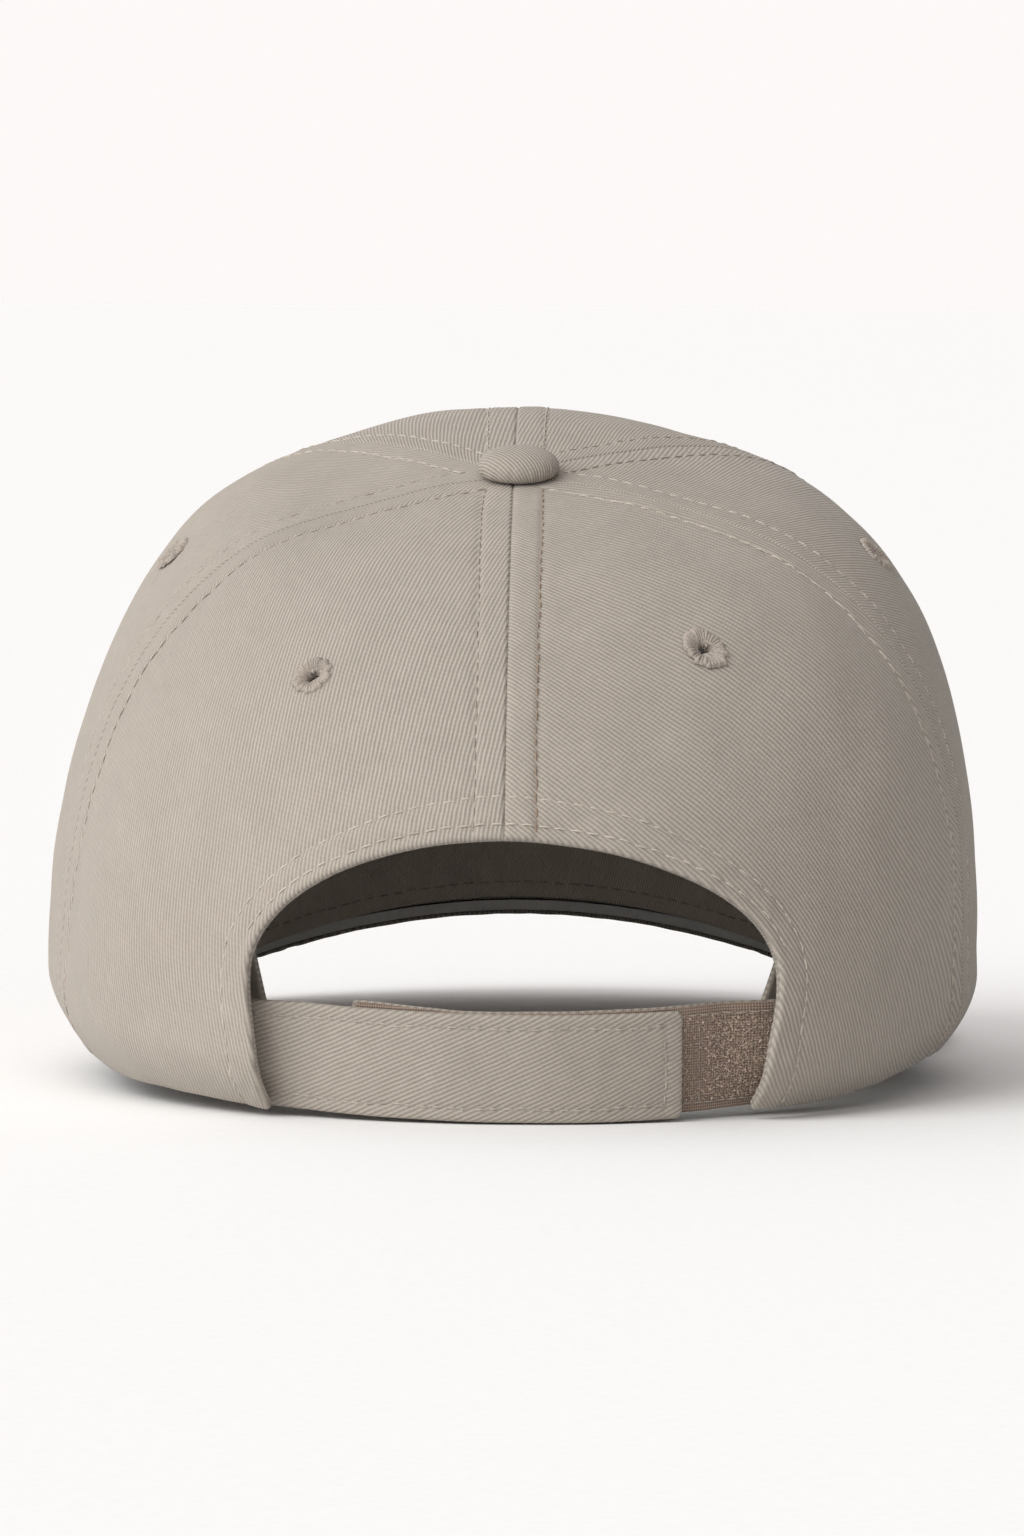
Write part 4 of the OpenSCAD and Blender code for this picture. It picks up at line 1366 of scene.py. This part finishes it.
def make_loop_pile(count=9400, samples=6):
    """Nylon loops at random over the tape, thinned where the hooks have worn it."""
    rng = np.random.default_rng(71)
    at = rng.uniform(LOOP_TAIL + 0.5, LOOP_END - 2, count)
    at = at[rng.random(count) > 0.8 * bell(at - LOOP_WORN, 2.2)]
    count = len(at)
    z = rng.uniform(2.2, STRAP_H - 2.2, count)
    turn = rng.uniform(0, 360, count)[:, None]
    size = rng.uniform(0.7, 1.25, count)[:, None]
    a = np.linspace(-20, 200, samples)[None]
    sideways = size * 0.30 * cosd(a) + 0.1 * rng.normal(size=(count, 1))
    slope = 0.15 * rng.normal(size=(count, 1)) * sind(a)
    ground = LOOP_R - 0.62 + (sewn_out(at, z) + strap_wave(at, z, LOOP_SEED))[:, None]
    centre = strap_point(ground + size * (0.22 + 0.26 * sind(a)),
                         at[:, None] + degrees(1) * (sideways * cosd(turn) + slope),
                         z[:, None] + sideways * sind(turn) + loop_rise(at)[:, None])
    up = np.stack([cosd(turn[:, 0]), -sind(turn[:, 0]), 0.3 + 0 * at], -1)
    sweep("loop_pile", centre, unit(up), PILE_R, "loop_fibre", 4, rides=LOOP_BEND)


def make_loop_strap():
    """The inner strap, its loop tape and the stitches that hold them together."""
    strap_piece("strap_inner", BACK_R, LOOP_T, LOOP_END, LOOP_TAIL, "strap", LOOP_SEED,
                ["loop_strap_root", "loop_strap"], INNER_BEND, loop_rise, angle=STRAP_RIBS)
    strap_piece("loop_tape_ground", LOOP_R - 0.4, 0.5, LOOP_END - 1, LOOP_TAIL, "loop_border",
                LOOP_SEED, ["loop_tape"], LOOP_BEND, loop_rise, inset=0.2)
    make_loop_pile()

    edge = 1.9
    at = np.linspace(LOOP_TAIL + 4, LOOP_END - 2, 150)
    # Sunk in the loops, so that the hooks pass over them, but not where the strap bends
    row_r = LOOP_R - 0.28 + 0.3 * ease((LOOP_HINGE + 1.2 - at) / 1.5)
    rows = [strap_row(at, z + loop_rise(at), row_r, LOOP_SEED) for z in (edge, STRAP_H - edge)]
    z = np.linspace(edge, STRAP_H - edge, 50)
    rows += [strap_row(at + 0 * z, z + loop_rise(at), LOOP_R - 0.34, LOOP_SEED)
             for at in (LOOP_HINGE + 5.5, LOOP_END - 3)]
    stitch_piece("stitch_strap_inner", rows, "pale_thread", 0.8, LOOP_BEND, stitch=1.9, gap=0.6)


# ---- floor, light and camera ----

FLOOR_R, FLOOR_Z = 9.0, -0.0002


def make_floor():
    mesh = bpy.data.meshes.new("floor")
    turns = 96
    ring = [(FLOOR_R * math.cos(a), FLOOR_R * math.sin(a), FLOOR_Z)
            for a in np.linspace(0, 2 * math.pi, turns, endpoint=False)]
    mesh.from_pydata(ring, [], [list(range(turns))])
    mesh.materials.append(grainy("floor_paper", (0.925, 0.925, 0.925), 0.9, 400.0, 2.0, 0.01,
                                 0.905 / 0.925))
    add_object("floor", mesh)


WALL = 0.98
WALL_COLOUR = (1.0, 0.965, 0.955, 1)


def make_surroundings():
    """A white wall all around, as seen, that lights the cap from behind, and a room
    brighter on the key light's side."""
    world = bpy.data.worlds.new("studio")
    bpy.context.scene.world = world
    world.use_nodes = True
    n = Nodes(world.node_tree)
    direction = n.node("TexCoord").outputs["Generated"]

    def facing(axis, low, high, to_low, to_high):
        """Strength that changes as directions turn towards an axis."""
        dot = n.node("VectorMath", {0: direction, 1: Vector(axis).normalized()},
                     operation="DOT_PRODUCT")
        return n.node("MapRange", {"Value": dot.outputs["Value"], "From Min": low, "From Max": high,
                                   "To Min": to_low, "To Max": to_high},
                      interpolation_type="SMOOTHSTEP").outputs[0]

    room = facing((1, 0.3, 0.3), -1, 1, 0.02, 1.3)
    wall = facing((0, -1, 0), 0.90, 0.985, 0, WALL)
    seen = n.math("MULTIPLY", n.node("LightPath").outputs["Is Camera Ray"], WALL)
    background = world.node_tree.nodes["Background"]
    background.inputs["Color"].default_value = WALL_COLOUR
    n.put(background.inputs["Strength"],
          n.math("MAXIMUM", n.math("MAXIMUM", room, wall), seen))


KEY_TOWARDS, KEY_SPREAD = (0.85, 0.80, 0.85), 40
KEY_STRENGTH, KEY_COLOUR = 1.5, (0.98, 1.0, 0.975)


def make_key_light():
    """Even light from one side, as from a large, far softbox KEY_SPREAD degrees wide."""
    data = bpy.data.lights.new("key", "SUN")
    data.angle = math.radians(KEY_SPREAD)
    data.energy = KEY_STRENGTH
    data.color = KEY_COLOUR
    light = add_object("key", data)
    light.rotation_mode = "QUATERNION"
    light.rotation_quaternion = Vector(KEY_TOWARDS).to_track_quat("Z", "Y")


CAMERA_AZIMUTH, CAMERA_ELEVATION, CAMERA_ROLL = -0.8, 8.5, 0.3
CAMERA_DISTANCE = 1800.0
CAMERA_AIM = np.array([0.0, 0.0, 55.0])
CAMERA_LENS, CAMERA_SENSOR = 220.2, 36
CAMERA_SHIFT = (-0.0033, -0.0143)


def make_camera():
    az, el, roll = CAMERA_AZIMUTH, CAMERA_ELEVATION, CAMERA_ROLL
    back = np.array([sind(az) * cosd(el), cosd(az) * cosd(el), sind(el)])
    right = np.array([-cosd(az), sind(az), 0.0])
    up = np.cross(back, right)
    right, up = cosd(roll) * right + sind(roll) * up, cosd(roll) * up - sind(roll) * right
    axes = [(place(v) - place(np.zeros(3))) / MM for v in (right, up, back)]
    data = bpy.data.cameras.new("camera")
    data.lens, data.sensor_width = CAMERA_LENS, CAMERA_SENSOR
    data.shift_x, data.shift_y = CAMERA_SHIFT
    data.clip_end = 20
    camera = add_object("camera", data)
    camera.matrix_world = (Matrix.Translation(place(CAMERA_AIM + CAMERA_DISTANCE * back))
                           @ Matrix(axes).transposed().to_4x4())
    bpy.context.scene.camera = camera


make_camera()
make_crown()
make_lining()
make_trim()
make_visor()
make_hook_strap()
make_hook_tape()
make_loop_strap()
make_floor()
make_surroundings()
make_key_light()
bpy.context.scene.view_settings.view_transform = "Standard"
